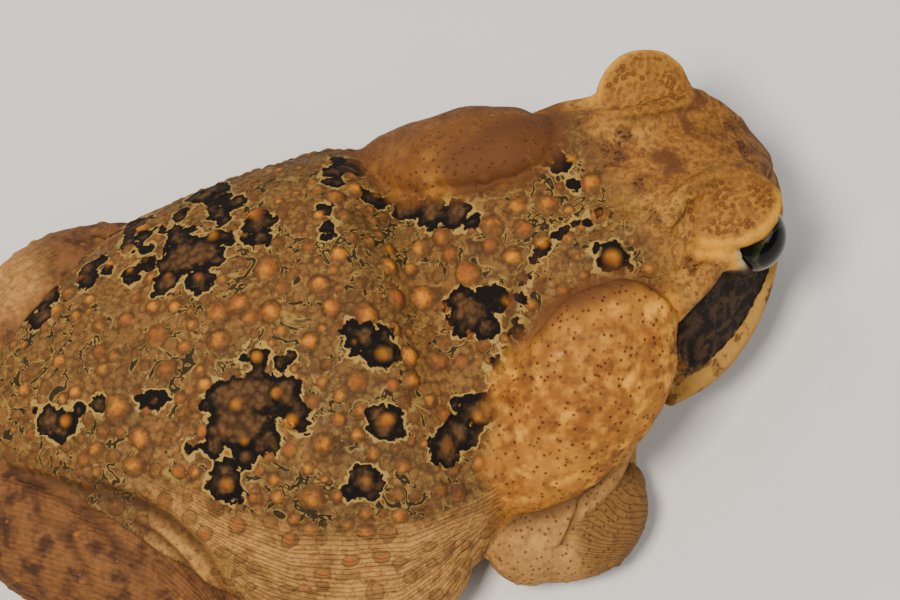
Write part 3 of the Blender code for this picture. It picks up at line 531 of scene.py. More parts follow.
def build_leg(side):
    out, foot_out = LEG_OUT[side], FOOT_OUT[side]
    thigh = [(r[0], side * (r[1] + out * i / (len(THIGH) - 1))) + tuple(r[2:]) for i, r in enumerate(THIGH)]
    toes = [(math.radians(way * FOOT_SPREAD[side] + FOOT_TURN[side]), *rest) for way, *rest in TOES]
    pieces = [tube(mirrored(TARSUS, side, foot_out), curved=False)] + web(toes, side)
    for way, length, _ in toes:
        head = np.array([math.cos(way), math.sin(way)])
        steps = zip((-3, length * 0.55, length), TOE_HEIGHTS, TOE_RADII)
        rows = [(*(np.array(TOE_ROOT) + head * d), z, r) for d, z, r in steps]
        pieces.append(tube(mirrored(rows, side, foot_out), around=16, curved=False))
    tubercle = mirrored((TUBERCLE_AT,), side, foot_out)[0]
    pieces.append(ellipsoid(tubercle, TUBERCLE_RADII, curved=False, level=3))
    return {
        "thigh": smoothed(tube(thigh, curved=False), FORM_VOXEL, LIMB_SOFT),
        "shank": smoothed(tube(mirrored(SHANK, side, out), curved=False), FORM_VOXEL, LIMB_SOFT),
        "foot": smoothed(joined("foot", pieces), SKIN_VOXEL, FOOT_SOFT),
    }


def tree_of(obj):
    return BVHTree.FromObject(obj, bpy.context.evaluated_depsgraph_get())


def points_of(obj):
    """The points of obj in millimetres, and its normals."""
    count = len(obj.data.vertices)
    points, normals = np.empty(count * 3, np.float32), np.empty(count * 3, np.float32)
    obj.data.vertices.foreach_get("co", points)
    obj.data.vertex_normals.foreach_get("vector", normals)
    return points.reshape(-1, 3).astype(float) / MM, normals.reshape(-1, 3).astype(float)


def ramp(value, low, high):
    """Rises smoothly from 0 at low to 1 at high."""
    share = np.clip((value - low) / (high - low), 0, 1)
    return share * share * (3 - 2 * share)


def wander(points, size, seed):
    """Smooth random values from -1 to 1 that change over this many millimetres."""
    place = points / size + seed * 7.31
    base = np.floor(place).astype(np.int64)
    f = place - base
    f = f * f * (3 - 2 * f)
    total = np.zeros(len(points))
    for corner in itertools.product((0, 1), repeat=3):
        x, y, z = (base[:, i] + corner[i] for i in range(3))
        mixed = (x * 73856093) ^ (y * 19349663) ^ (z * 83492791) ^ (seed * 2654435761)
        mixed = ((mixed ^ (mixed >> 13)) * 1274126177) & 0xFFFFFFFF
        mixed = ((mixed ^ (mixed >> 15)) * 668265263) & 0xFFFFFFFF
        weight = np.prod([f[:, i] if corner[i] else 1 - f[:, i] for i in range(3)], axis=0)
        total += weight * (((mixed >> 8) & 0xFFFF) / 32767.5 - 1)
    return total


def reach_to(points, piece, reach):
    """How far points lie from a piece, at most reach, looked up only near its box."""
    at, _ = points_of(piece)
    tree = tree_of(piece)
    far = np.full(len(points), float(reach))
    near = np.all((points > at.min(axis=0) - reach) & (points < at.max(axis=0) + reach), axis=1)
    for i in np.nonzero(near)[0]:
        found = tree.find_nearest(Vector(points[i]) * MM, reach * MM)[3]
        if found is not None:
            far[i] = found / MM
    return far


def reach_to_line(points, line, reach):
    """How far points lie from a dense line, at most reach, and which share of the line is nearest."""
    line = np.asarray(line, float)
    near = np.all((points > line.min(axis=0) - reach) & (points < line.max(axis=0) + reach), axis=1)
    far, share = np.full(len(points), float(reach)), np.zeros(len(points))
    index = np.nonzero(near)[0]
    for part in np.array_split(index, max(1, len(index) // 4000)):
        gap = np.linalg.norm(points[part][:, None, :] - line[None, :, :], axis=2)
        far[part] = np.minimum(gap.min(axis=1), reach)
        share[part] = gap.argmin(axis=1) / max(1, len(line) - 1)
    return far, share


def view_axes():
    """The photo's looking, rightward and upward directions and its place, in millimetres."""
    heading, high, roll = (math.radians(a) for a in (VIEW_HEADING, VIEW_ELEVATION, VIEW_ROLL))
    look = Vector((math.cos(high) * math.cos(heading), math.cos(high) * math.sin(heading), -math.sin(high)))
    level = Vector((math.sin(heading), -math.cos(heading), 0))
    rise = level.cross(look)
    right = math.cos(roll) * level + math.sin(roll) * rise
    up = math.cos(roll) * rise - math.sin(roll) * level
    return look, right, up, Vector(VIEW_TARGET) - look * VIEW_DISTANCE


def view_ray(across, down):
    """Where the photo was taken from, and the direction through one of its pixels."""
    look, right, up, start = view_axes()
    across, down = (across - VIEW_CENTRE[0]) / VIEW_FOCAL, (down - VIEW_CENTRE[1]) / VIEW_FOCAL
    return start * MM, (look + right * across - up * down).normalized()


def in_view(points):
    """Where points in millimetres lie in the photo, as its pixels across and down."""
    look, right, up, start = (np.array(v) for v in view_axes())
    ahead = (points - start) @ look
    across = VIEW_CENTRE[0] + VIEW_FOCAL * ((points - start) @ right) / ahead
    return across, VIEW_CENTRE[1] - VIEW_FOCAL * ((points - start) @ up) / ahead


class Skin:
    """The skin's points, how far each is pushed out, and what the paint is told at each."""

    def __init__(self, obj):
        self.obj = obj
        self.points, self.normals = points_of(obj)
        self.spine = unbend(self.points)
        self.push = np.zeros(len(self.points))
        self.gap, self.marks = {}, {}
        self.tree = tree_of(obj)
        self.find = KDTree(len(self.points))
        for i, p in enumerate(self.points):
            self.find.insert(p, i)
        self.find.balance()

    def mark(self, name):
        if name not in self.marks:
            self.marks[name] = np.zeros(len(self.points))
        return self.marks[name]

    def lift_mark(self, name, values, index=slice(None)):
        """Raises a mark to these values where it is lower."""
        mark = self.mark(name)
        mark[index] = np.maximum(mark[index], values)

    def least_gap(self, *names):
        """How far each point lies from the nearest of the named forms, on either side."""
        return np.min([self.gap[name, side] for name in names for side in SIDES], axis=0)

    def wander(self, size, seed):
        return wander(self.points, size, seed)

    def around(self, at, radius):
        """Which points lie near a place, and how far off in shares of the radius."""
        found = self.find.find_range(at, radius)
        return np.array([f[1] for f in found], int), np.array([f[2] for f in found]) / radius

    def seen(self, across, down):
        """The place at one of the photo's pixels and the size of the pixel there, or None beside the skin."""
        at, _, _, far = self.tree.ray_cast(*view_ray(across, down))
        return None if at is None else (np.array(at) / MM, far / MM / VIEW_FOCAL)

    def dome(self, at, radius, lift, name=None, moat=0.12, full=1.6, uneven=0.0):
        """A round swelling with a shallow moat, and its mark from 1 at the top to 0 at the foot."""
        index, far = self.around(at, radius * 1.6)
        if not len(index):
            return
        far = far * 1.6 * (1 + uneven * wander(self.points[index], radius * 0.9, 31))
        high = np.clip(1 - far * far, 0, 1) ** full
        self.push[index] += lift * high - moat * lift * bell(far, 1.12, 0.16)
        if name:
            self.lift_mark(name, np.clip(1.15 - far, 0, 1), index)

    def line(self, points, depth, half, name="crease_shade", fade=True):
        """A crease along a line, shallower towards its ends, with a soft swelling on both sides, and a mark
        of painted shade in the crease.
        """
        far, share = reach_to_line(self.points, spline(points, 24), half * 3)
        ends = np.sin(np.pi * np.clip(share, 0.02, 0.98)) ** 0.5 if fade else 1.0
        valley = np.exp(-((far / half) ** 2)) * (far < half * 3) * ends
        bank = bell(far, 1.9 * half, 0.7 * half) * (far < half * 2.9) * ends
        self.push += depth * (0.3 * bank - valley)
        self.lift_mark(name, valley * min(1.0, depth + 0.2))


def build_skin():
    """The forms of the whole toad as one skin, with how far each point lies from the named forms."""
    forms = {"body": build_body()}
    for side in SIDES:
        for name, piece in {"gland": build_gland(side), **build_arm(side), **build_leg(side)}.items():
            forms[name, side] = piece
    obj = smoothed(joined("toad_skin", forms.values(), keep=True), SKIN_VOXEL, WHOLE_SOFT)
    points, _ = points_of(obj)
    obj.data.vertices.foreach_set("co", (np.maximum(points, (-1e9, -1e9, 0)) * MM).astype(np.float32).ravel())
    skin = Skin(obj)
    for key, piece in forms.items():
        if key != "body":
            skin.gap[key] = reach_to(skin.points, piece, GLAND_REACH if key[0] == "gland" else FORM_REACH)
        bpy.data.objects.remove(piece)
    return skin


def lay_regions(skin):
    """Which part of the toad each point belongs to."""
    mark = skin.mark
    s, y, z = skin.spine.T
    side = np.abs(y)
    for name, keys in (
        ("gland", ("gland",)),
        ("arm", ("upper_arm", "forearm", "hand")),
        ("leg", ("thigh", "shank", "foot")),
        ("toes", ("foot", "hand")),
    ):
        mark(name)[:] = 1 - ramp(skin.least_gap(*keys), 0.2, 1.2)
    limbs = np.maximum(mark("arm"), mark("leg"))
    mark("gland")[:] *= 1 - limbs
    near_gland = skin.least_gap("gland")
    mark("gland_tone")[:] = (1 - ramp(near_gland + 1.1 * skin.wander(3, 33), 0.1, 4.2)) * (1 - limbs)
    # Painted shade on the arm under the gland's overhang, laid on as a dark crease.
    skin.lift_mark("crease_shade", mark("arm") * (1 - ramp(near_gland, 0.6, 4.2)) ** 1.5)
    mark("gland_edge")[:] = (1 - ramp(side + 1.5 * skin.wander(4, 34), 17, 23)) * ramp(s, 6, 14)
    # Painted shade on the far side, turned from the light.
    mark("far_side_shade")[:] = ramp(y, 4, 22)
    trunk = (1 - ramp(s, 34, 40)) * (1 - limbs)
    mark("head")[:] = ramp(s, 33, 41) * (1 - limbs) * (1 - mark("gland"))
    mark("trunk")[:] = trunk * (1 - mark("gland"))
    mark("belly")[:] = (1 - ramp(skin.normals[:, 2], -0.75, -0.1)) * (1 - ramp(z, 12, 20))
    mark("flank")[:] = (1 - ramp(z, 19, 31)) * trunk
    mark("spine")[:] = (1 - ramp(side, 2.5, 10)) * trunk
    # The dark cheek between the eye, the ridge over the eardrum and the lip.
    cheek = ramp(z, 19.4, 21.2) * (1 - ramp(z, 33.6, 36.2)) * ramp(s, 30, 34)
    cheek *= 1 - ramp(s + 0.6 * (z - 21), 56, 64)
    mark("cheek")[:] = cheek * ramp(side + 0.5 * np.clip(s - 46, 0, 12), 19, 21.5) * mark("head") ** 0.3
    lip = 1 - ramp(z, 20.0, 21.6 + np.clip(s - 56, 0, 12) * 0.3)
    mark("lip")[:] = lip * ramp(s, 30, 33) * ramp(side, 0.0, 0.1) * ramp(z, 14.0, 16.5) * (1 - limbs)


def lay_folds(skin):
    """Creases by the photo's pixels, wrinkles that run to the armpits, and marks of the forearms' rings."""
    for pixels, depth, half in FOLDS:
        found = [skin.seen(*pixel) for pixel in pixels]
        skin.line([f[0] for f in found if f is not None], depth, half)
    mark = skin.mark
    s, y, z = skin.spine.T
    trunk, arm, leg = mark("trunk"), mark("arm"), mark("leg")
    # The right flank's wrinkles, and the same on the left.
    across, down = in_view(bend(np.column_stack([s, -np.abs(y), z])))
    down = down + 2.2 * skin.wander(8, 3)
    lines = [np.interp(across, *np.array(line, float).T) for line in WRINKLES]
    flow = np.zeros(len(s))
    for upper, lower, count in zip(lines, lines[1:], WRINKLE_COUNTS):
        flow += count * np.clip((down - upper) / (lower - upper), 0, 1)
    total = sum(WRINKLE_COUNTS)
    fade = trunk * ramp(across, 110, 190) * (1 - ramp(across, 502, 512)) * (np.abs(y) > 20) * ramp(z, 3, 9)
    mark("pale")[:] = fade * ramp(flow + 2.5 * skin.wander(7, 22), 0.5, 9)
    here = np.column_stack(in_view(skin.points)) - TAN_AT
    mark("tan")[:] = leg * (1 - ramp(np.linalg.norm(here, axis=1), 10, 70))
    below = (down - np.interp(across, *np.array(FOLDS[0][0], float).T)) / THIGH_STEP
    mark("flow")[:] = np.where(leg > 0.5, below, flow)
    flowing = fade * ramp(flow, 0.5, 6) * (1 - ramp(flow, total - 3, total - 0.5))
    on_thigh = 0.6 * (leg > 0.5) * ramp(skin.normals[:, 2], 0.1, 0.5) * (below > 1)
    mark("flowing")[:] = np.maximum(flowing, on_thigh)
    wave = 1 - np.abs(np.sin(np.pi * (flow + 0.5 * skin.wander(5, 5)) / 3))
    wrinkle = wave**1.5 * flowing * np.clip(0.75 + 0.5 * skin.wander(5, 25), 0.2, 1)
    skin.push -= WRINKLE_DEPTH * wrinkle
    # Painted shade in the wrinkles.
    skin.lift_mark("crease_shade", 0.35 * wrinkle)
    # Where fine rings lie round the forearms, and soft unevenness everywhere.
    mark("coil")[:] = np.hypot(s - ELBOW[0], z - ELBOW[1]) + 0.5 * skin.wander(4, 7)
    mark("fore")[:] = (1 - ramp(skin.least_gap("forearm"), 0.3, 1.5)) * (1 - mark("toes")) * ramp(s, 8, 11)
    skin.push += 0.32 * skin.wander(7, 9) * (trunk + leg)
    skin.push += 0.12 * skin.wander(2.2, 10) * (trunk + arm + leg)
    skin.push += (0.35 * skin.wander(6, 11) + 0.14 * skin.wander(2.6, 12)) * mark("gland")
    skin.push += (0.22 * skin.wander(5, 13) + 0.1 * skin.wander(1.8, 14)) * mark("head")
    skin.push += 0.35 * (skin.wander(6, 15) - 0.5 * np.abs(skin.wander(3.5, 16))) * leg


def lay_eyes(skin):
    """The lids: a rim where they stand free, knobs on top and a raised margin round the eye."""
    draw = random.Random(SEED + 1)
    ahead, _, height = skin.spine.T
    for side in SIDES:
        off = np.linalg.norm(skin.points - on_side(EYE_AT, side), axis=1) - EYE_RADIUS
        margin = bell(off, 0.55, 0.55) * (off < 3)
        skin.push += MARGIN_LIFT * margin
        skin.lift_mark("margin", margin)
        tilt = math.radians(side * LID_TILT_DEG[side])
        long, wide, half = LID_RADII[side]
        s, y, z = (skin.spine - mirrored((LID_AT[side],), side)[0]).T
        outward = side * (y * math.cos(tilt) + z * math.sin(tilt)) / wide
        high = (z * math.cos(tilt) - y * math.sin(tilt)) / half
        out = np.hypot(s / long, outward)
        free = ramp(outward + 0.12 * s / long, 0.05, 0.45)
        rim = ramp(out, 0.85, 0.95) * free * (1 - ramp(out, 1.05, 1.3)) * ramp(high, -1.3, -0.8)
        behind = spline(bend(mirrored([r[:3] for r in ORBIT_BACK], side)), 8)
        from_back, _ = reach_to_line(skin.points, behind, 5)
        skin.lift_mark("rim", np.maximum(rim, (1 - ramp(from_back, 1.6, 3.6)) * ramp(height, 36.2, 37.6)))
        skin.lift_mark("brim", margin * (1 - ramp(ahead - EYE_AT[0], -5.2, -3.2)) * ramp(height, 35.6, 37))
        skin.lift_mark("cheek", (1 - ramp(from_back, 2.2, 3.4)) * (1 - ramp(height, 36, 37.4)))
        skin.push += RIM_LIFT * bell(out, 0.95, 0.1) * free * ((out < 1.25) & (high > -1.3))
        skin.lift_mark("lid", (1 - ramp(out, 0.84, 0.98)) * (high > -0.2) * ramp(outward, -0.7, -0.45))
        places = []
        top = np.nonzero((out < 0.8) & (high > 0.1) & (outward > -0.45))[0]
        for _ in range(LID_KNOBS * KNOB_TRIES):
            if len(places) >= LID_KNOBS:
                break
            place, radius = skin.points[top[draw.randrange(len(top))]], draw.uniform(*LID_KNOB_RADII)
            if all(np.linalg.norm(place - p) > radius + r for p, r in places):
                places.append((place, radius))
                skin.dome(place, radius * 1.15, LID_KNOB_LIFT, "knob")


def lay_head(skin):
    """Nostrils, the eardrums and the mouth line, with painted shade in the nostrils and along the mouth line.
    """
    for side in SIDES:
        far = np.linalg.norm(skin.points - on_side(NOSTRIL_AT, side), axis=1) / NOSTRIL_RADIUS
        skin.push += NOSTRIL_RING * bell(far, 1.5, 0.45) - NOSTRIL_DEPTH * np.exp(-((far / 0.8) ** 2))
        # Painted shade in the nostril pit.
        skin.lift_mark("nostril_shade", np.exp(-((far / 0.9) ** 2)))
        off = np.hypot(skin.spine[:, 0] - EARDRUM_AT[0], skin.spine[:, 2] - EARDRUM_AT[2]) / EARDRUM_RADIUS
        here = np.linalg.norm(skin.points - on_side(EARDRUM_AT, side), axis=1) < EARDRUM_RADIUS * 1.9
        dish = EARDRUM_DEPTH * np.exp(-((off / 0.8) ** 4))
        skin.push += here * (EARDRUM_RING * bell(off, 1.0, 0.13) - dish)
    left = [(s, y + 0.4, z - MOUTH_DROP) for s, y, z, _ in UPPER_LIP]
    front = (UPPER_LIP[-1][0] + 0.9, 0, UPPER_LIP[-1][2] - MOUTH_DROP + 0.2)
    # Painted shade along the mouth groove.
    skin.line(bend(left + [front] + mirrored(left, -1)[::-1]), MOUTH_DEPTH, MOUTH_HALF, "mouth", fade=False)


def lay_warts(skin):
    """The photo's warts, then a seeded fill of smaller ones over the trunk and limbs, and fine grains."""
    draw = random.Random(SEED)
    taken = []

    def free(at, radius, gap=0.25):
        for p, r in taken:
            least = radius + r + gap
            if abs(at[0] - p[0]) <= least and np.linalg.norm(at - p) <= least:
                return False
        return True

    def add(at, radius, lift, tip_and_highlight):
        if not free(at, radius * 0.8):
            return
        taken.append((at, radius))
        skin.dome(at, radius, lift, "wart", moat=0.05, full=1.25, uneven=0.26)
        index, far = skin.around(at, radius * 1.1)
        # How far the orange top, partly a painted highlight, covers the wart.
        skin.lift_mark("tip_and_highlight", tip_and_highlight * np.clip(1.15 - far * 1.2, 0, 1), index)

    for kind, places in MAIN_WARTS.items():
        radius, lift = WART_SIZES[kind]
        for place in places:
            found = skin.seen(*place)
            if found is not None:
                size = radius * draw.uniform(0.9, 1.12), lift * draw.uniform(0.8, 1.1)
                add(found[0], *size, draw.uniform(0.6, 1.0))
    trunk, leg, arm, gland = (skin.mark(name) for name in ("trunk", "leg", "arm", "gland"))
    bare = gland + skin.mark("toes") + skin.mark("belly")
    for places, count, radii in (
        (np.nonzero((trunk > 0.9) & (bare < 0.1))[0], FILL_WARTS, FILL_RADII),
        (np.nonzero((leg + arm > 0.9) & (bare < 0.1))[0], LIMB_WARTS, LIMB_RADII),
    ):
        made = 0
        for _ in range(count * WART_TRIES):
            if made >= count:
                break
            at, radius = skin.points[places[draw.randrange(len(places))]], draw.uniform(*radii)
            low = skin.mark("pale")[skin.find.find(at)[1]]
            if free(at, radius) and draw.random() > 0.6 * low:
                lift = FILL_LIFT * radius * draw.uniform(0.7, 1.1) * (1 - 0.4 * low)
                add(at, radius, lift, draw.uniform(0.1, 0.75) * (1 - 0.5 * low))
                made += 1
    ground = np.nonzero((trunk + leg + arm > 0.9) & (gland < 0.1) & (skin.mark("wart") < 0.1))[0]
    for _ in range(GRAINS):
        at = skin.points[ground[draw.randrange(len(ground))]]
        skin.dome(at, draw.uniform(*GRAIN_RADII), GRAIN_LIFT, moat=0.0)


def spots_seen(skin, spots):
    """Round spots of the photo as places on the skin and radii in millimetres."""
    found = [(skin.seen(across, down), radius) for across, down, radius in spots]
    return [(f[0], radius * f[1]) for f, radius in found if f is not None]


def depth_in(skin, spots, floor=-9.0, room=5):
    """How deep each point of the skin lies in any of the spots, in millimetres, and less than 0 outside."""
    depth = np.full(len(skin.points), floor)
    for at, radius in spots:
        index, far = skin.around(at, radius + room)
        depth[index] = np.maximum(depth[index], radius - far * (radius + room))
    return depth


def lay_patches(skin):
    """The dark patches of the back, those of the unseen side by a seeded draw, and the stains of the head."""
    spots = spots_seen(skin, PATCHES)
    draw = random.Random(SEED + 2)
    hidden = np.nonzero((skin.mark("trunk") > 0.9) & (skin.mark("flank") < 0.6) & (skin.spine[:, 1] > 14))[0]
    for _ in range(HIDDEN_PATCHES):
        start = skin.points[hidden[draw.randrange(len(hidden))]]
        radius = draw.uniform(1.2, 3.2)
        for _ in range(HIDDEN_SPOTS):
            shift = np.array([draw.uniform(-1, 1) for _ in range(3)]) * radius * 1.3
            nearest = skin.find.find(start + shift)[1]
            spots.append((skin.points[nearest], radius * draw.uniform(0.5, 1.0)))
    skin.mark("patch")[:] = depth_in(skin, spots)
    skin.mark("stain")[:] = depth_in(skin, spots_seen(skin, STAINS))


def srgb(red, green, blue):
    """A colour as it looks on screen, turned to the light values that shaders take."""
    light = [c / 3294.6 if c <= 10 else ((c / 255 + 0.055) / 1.055) ** 2.4 for c in (red, green, blue)]
    return (*light, 1)


# The palette, as it looks on screen. Some dark tones also serve as painted shade in creases, pores, furrows
# and grain grooves, and the wart tip partly as a painted highlight.
OLIVE, WARM = srgb(98, 70, 35), srgb(116, 78, 35)
WART_TIP, WART_RED, WART_FOOT = srgb(196, 122, 28), srgb(148, 78, 30), srgb(88, 52, 24)
DARK, DARK_BROWN, OUTLINE = srgb(14, 10, 7), srgb(44, 28, 14), srgb(152, 122, 58)
PATCH_BROWN = srgb(86, 59, 33)
BONE, BONE_DARK, BONE_PALE = srgb(144, 96, 38), srgb(88, 52, 26), srgb(170, 122, 52)
LID, LID_KNOB, RIM = srgb(146, 100, 36), srgb(86, 47, 18), srgb(204, 140, 36)
CHEEK, CHEEK_BROWN, LIP, LIP_DARK = srgb(24, 17, 12), srgb(62, 44, 28), srgb(160, 118, 54), srgb(92, 60, 28)
GLAND, GLAND_PALE, PORE_SHADE = srgb(130, 78, 28), srgb(188, 126, 42), srgb(64, 36, 16)
GLAND_GOLD = srgb(214, 148, 46)
ARM, ARM_SPOT = srgb(160, 116, 60), srgb(84, 48, 22)
FLANK, FURROW_SHADE = srgb(188, 136, 70), srgb(98, 62, 30)
LEG, LEG_DARK = srgb(114, 73, 38), srgb(62, 38, 22)
BRIM = srgb(176, 178, 138)
BELLY, BELLY_SPOT = srgb(158, 134, 90), srgb(96, 72, 42)
IRIS, IRIS_DARK, IRIS_GREEN, IRIS_RIM = srgb(74, 62, 24), srgb(14, 14, 8), srgb(26, 42, 24), srgb(10, 10, 7)
PUPIL, EYEBALL = srgb(4, 4, 5), srgb(10, 8, 6)


class Paint:
    """One node material, made by short calls. Sizes are in millimetres."""

    def __init__(self, name):
        self.material = bpy.data.materials.new(name)
        self.material.use_nodes = True
        self.tree = self.material.node_tree
        self.shader = self.tree.nodes["Principled BSDF"]
        self.place = self.node("ShaderNodeTexCoord").outputs["Object"]

    def node(self, kind, inputs=(), **settings):
        """A node with these settings and these values or links at its inputs."""
        made = self.tree.nodes.new(kind)
        for key, value in settings.items():
            setattr(made, key, value)
        for key, value in dict(inputs).items():
            self.put(made.inputs[key], value)
        return made

    def put(self, socket, value):
        if isinstance(value, bpy.types.NodeSocket):
            self.tree.links.new(value, socket)
        elif value is not None:
            socket.default_value = value

    def math(self, how, a, b=None):
        return self.node("ShaderNodeMath", {0: a, 1: b}, operation=how).outputs[0]

    def by(self, a, b):
        return self.math("MULTIPLY", a, b)

    def plus(self, a, b):
        return self.math("ADD", a, b)

    def most(self, a, b):
        return self.math("MAXIMUM", a, b)

    def rest(self, value):
        """What is left of 1."""
        return self.math("SUBTRACT", 1.0, value)

    def swing(self, value, size):
        """A cloudy value's departure from its middle, enlarged to this size."""
        return self.by(self.math("SUBTRACT", value, 0.5), size)

    def waves(self, value, length=1.0):
        """Even waves between 0 and 1, each this long."""
        return self.math("ABSOLUTE", self.math("SINE", self.by(value, math.pi / length)))

    def mark(self, name):
        return self.node("ShaderNodeAttribute", attribute_name=name).outputs["Fac"]

    def step(self, value, low, high, start=0.0, end=1.0):
        """Runs smoothly from start to end as value goes from low to high."""
        inputs = dict(enumerate((value, low, high, start, end)))
        return self.node("ShaderNodeMapRange", inputs, interpolation_type="SMOOTHSTEP").outputs[0]

    def mix(self, share, a, b):
        return self.node("ShaderNodeMix", {"Factor": share, 6: a, 7: b}, data_type="RGBA").outputs[2]

    def clouded(self, colour, *layers):
        """A colour under layers, each laid on up to its share as its value goes from low to high."""
        for value, low, high, share, tone in layers:
            colour = self.mix(self.step(value, low, high, 0.0, share), colour, tone)
        return colour

    def noise(self, size, detail=3.0, rough=0.55, warp=0.0):
        """Cloudy values round 0.5, with features of about this size."""
        scale = {"Vector": self.place, "Scale": 1 / (size * MM)}
        inputs = {**scale, "Detail": detail, "Roughness": rough, "Distortion": warp}
        return self.node("ShaderNodeTexNoise", inputs).outputs["Fac"]

    def cells(self, size, wild=1.0):
        """How far off the middle of the nearest cell is, in shares of a cell of this size."""
        inputs = {"Vector": self.place, "Scale": 1 / (size * MM), "Randomness": wild}
        return self.node("ShaderNodeTexVoronoi", inputs).outputs["Distance"]

    def bump(self, height, depth, strength=1.0, under=None):
        inputs = {"Height": height, "Distance": depth * MM, "Strength": strength, "Normal": under}
        return self.node("ShaderNodeBump", inputs).outputs["Normal"]

    def finish(self, colour, rough, normal, **fixed):
        self.put(self.shader.inputs["Base Color"], colour)
        self.put(self.shader.inputs["Roughness"], rough)
        self.put(self.shader.inputs["Normal"], normal)
        for name, value in fixed.items():
            self.shader.inputs[name.replace("_", " ")].default_value = value
        return self.material


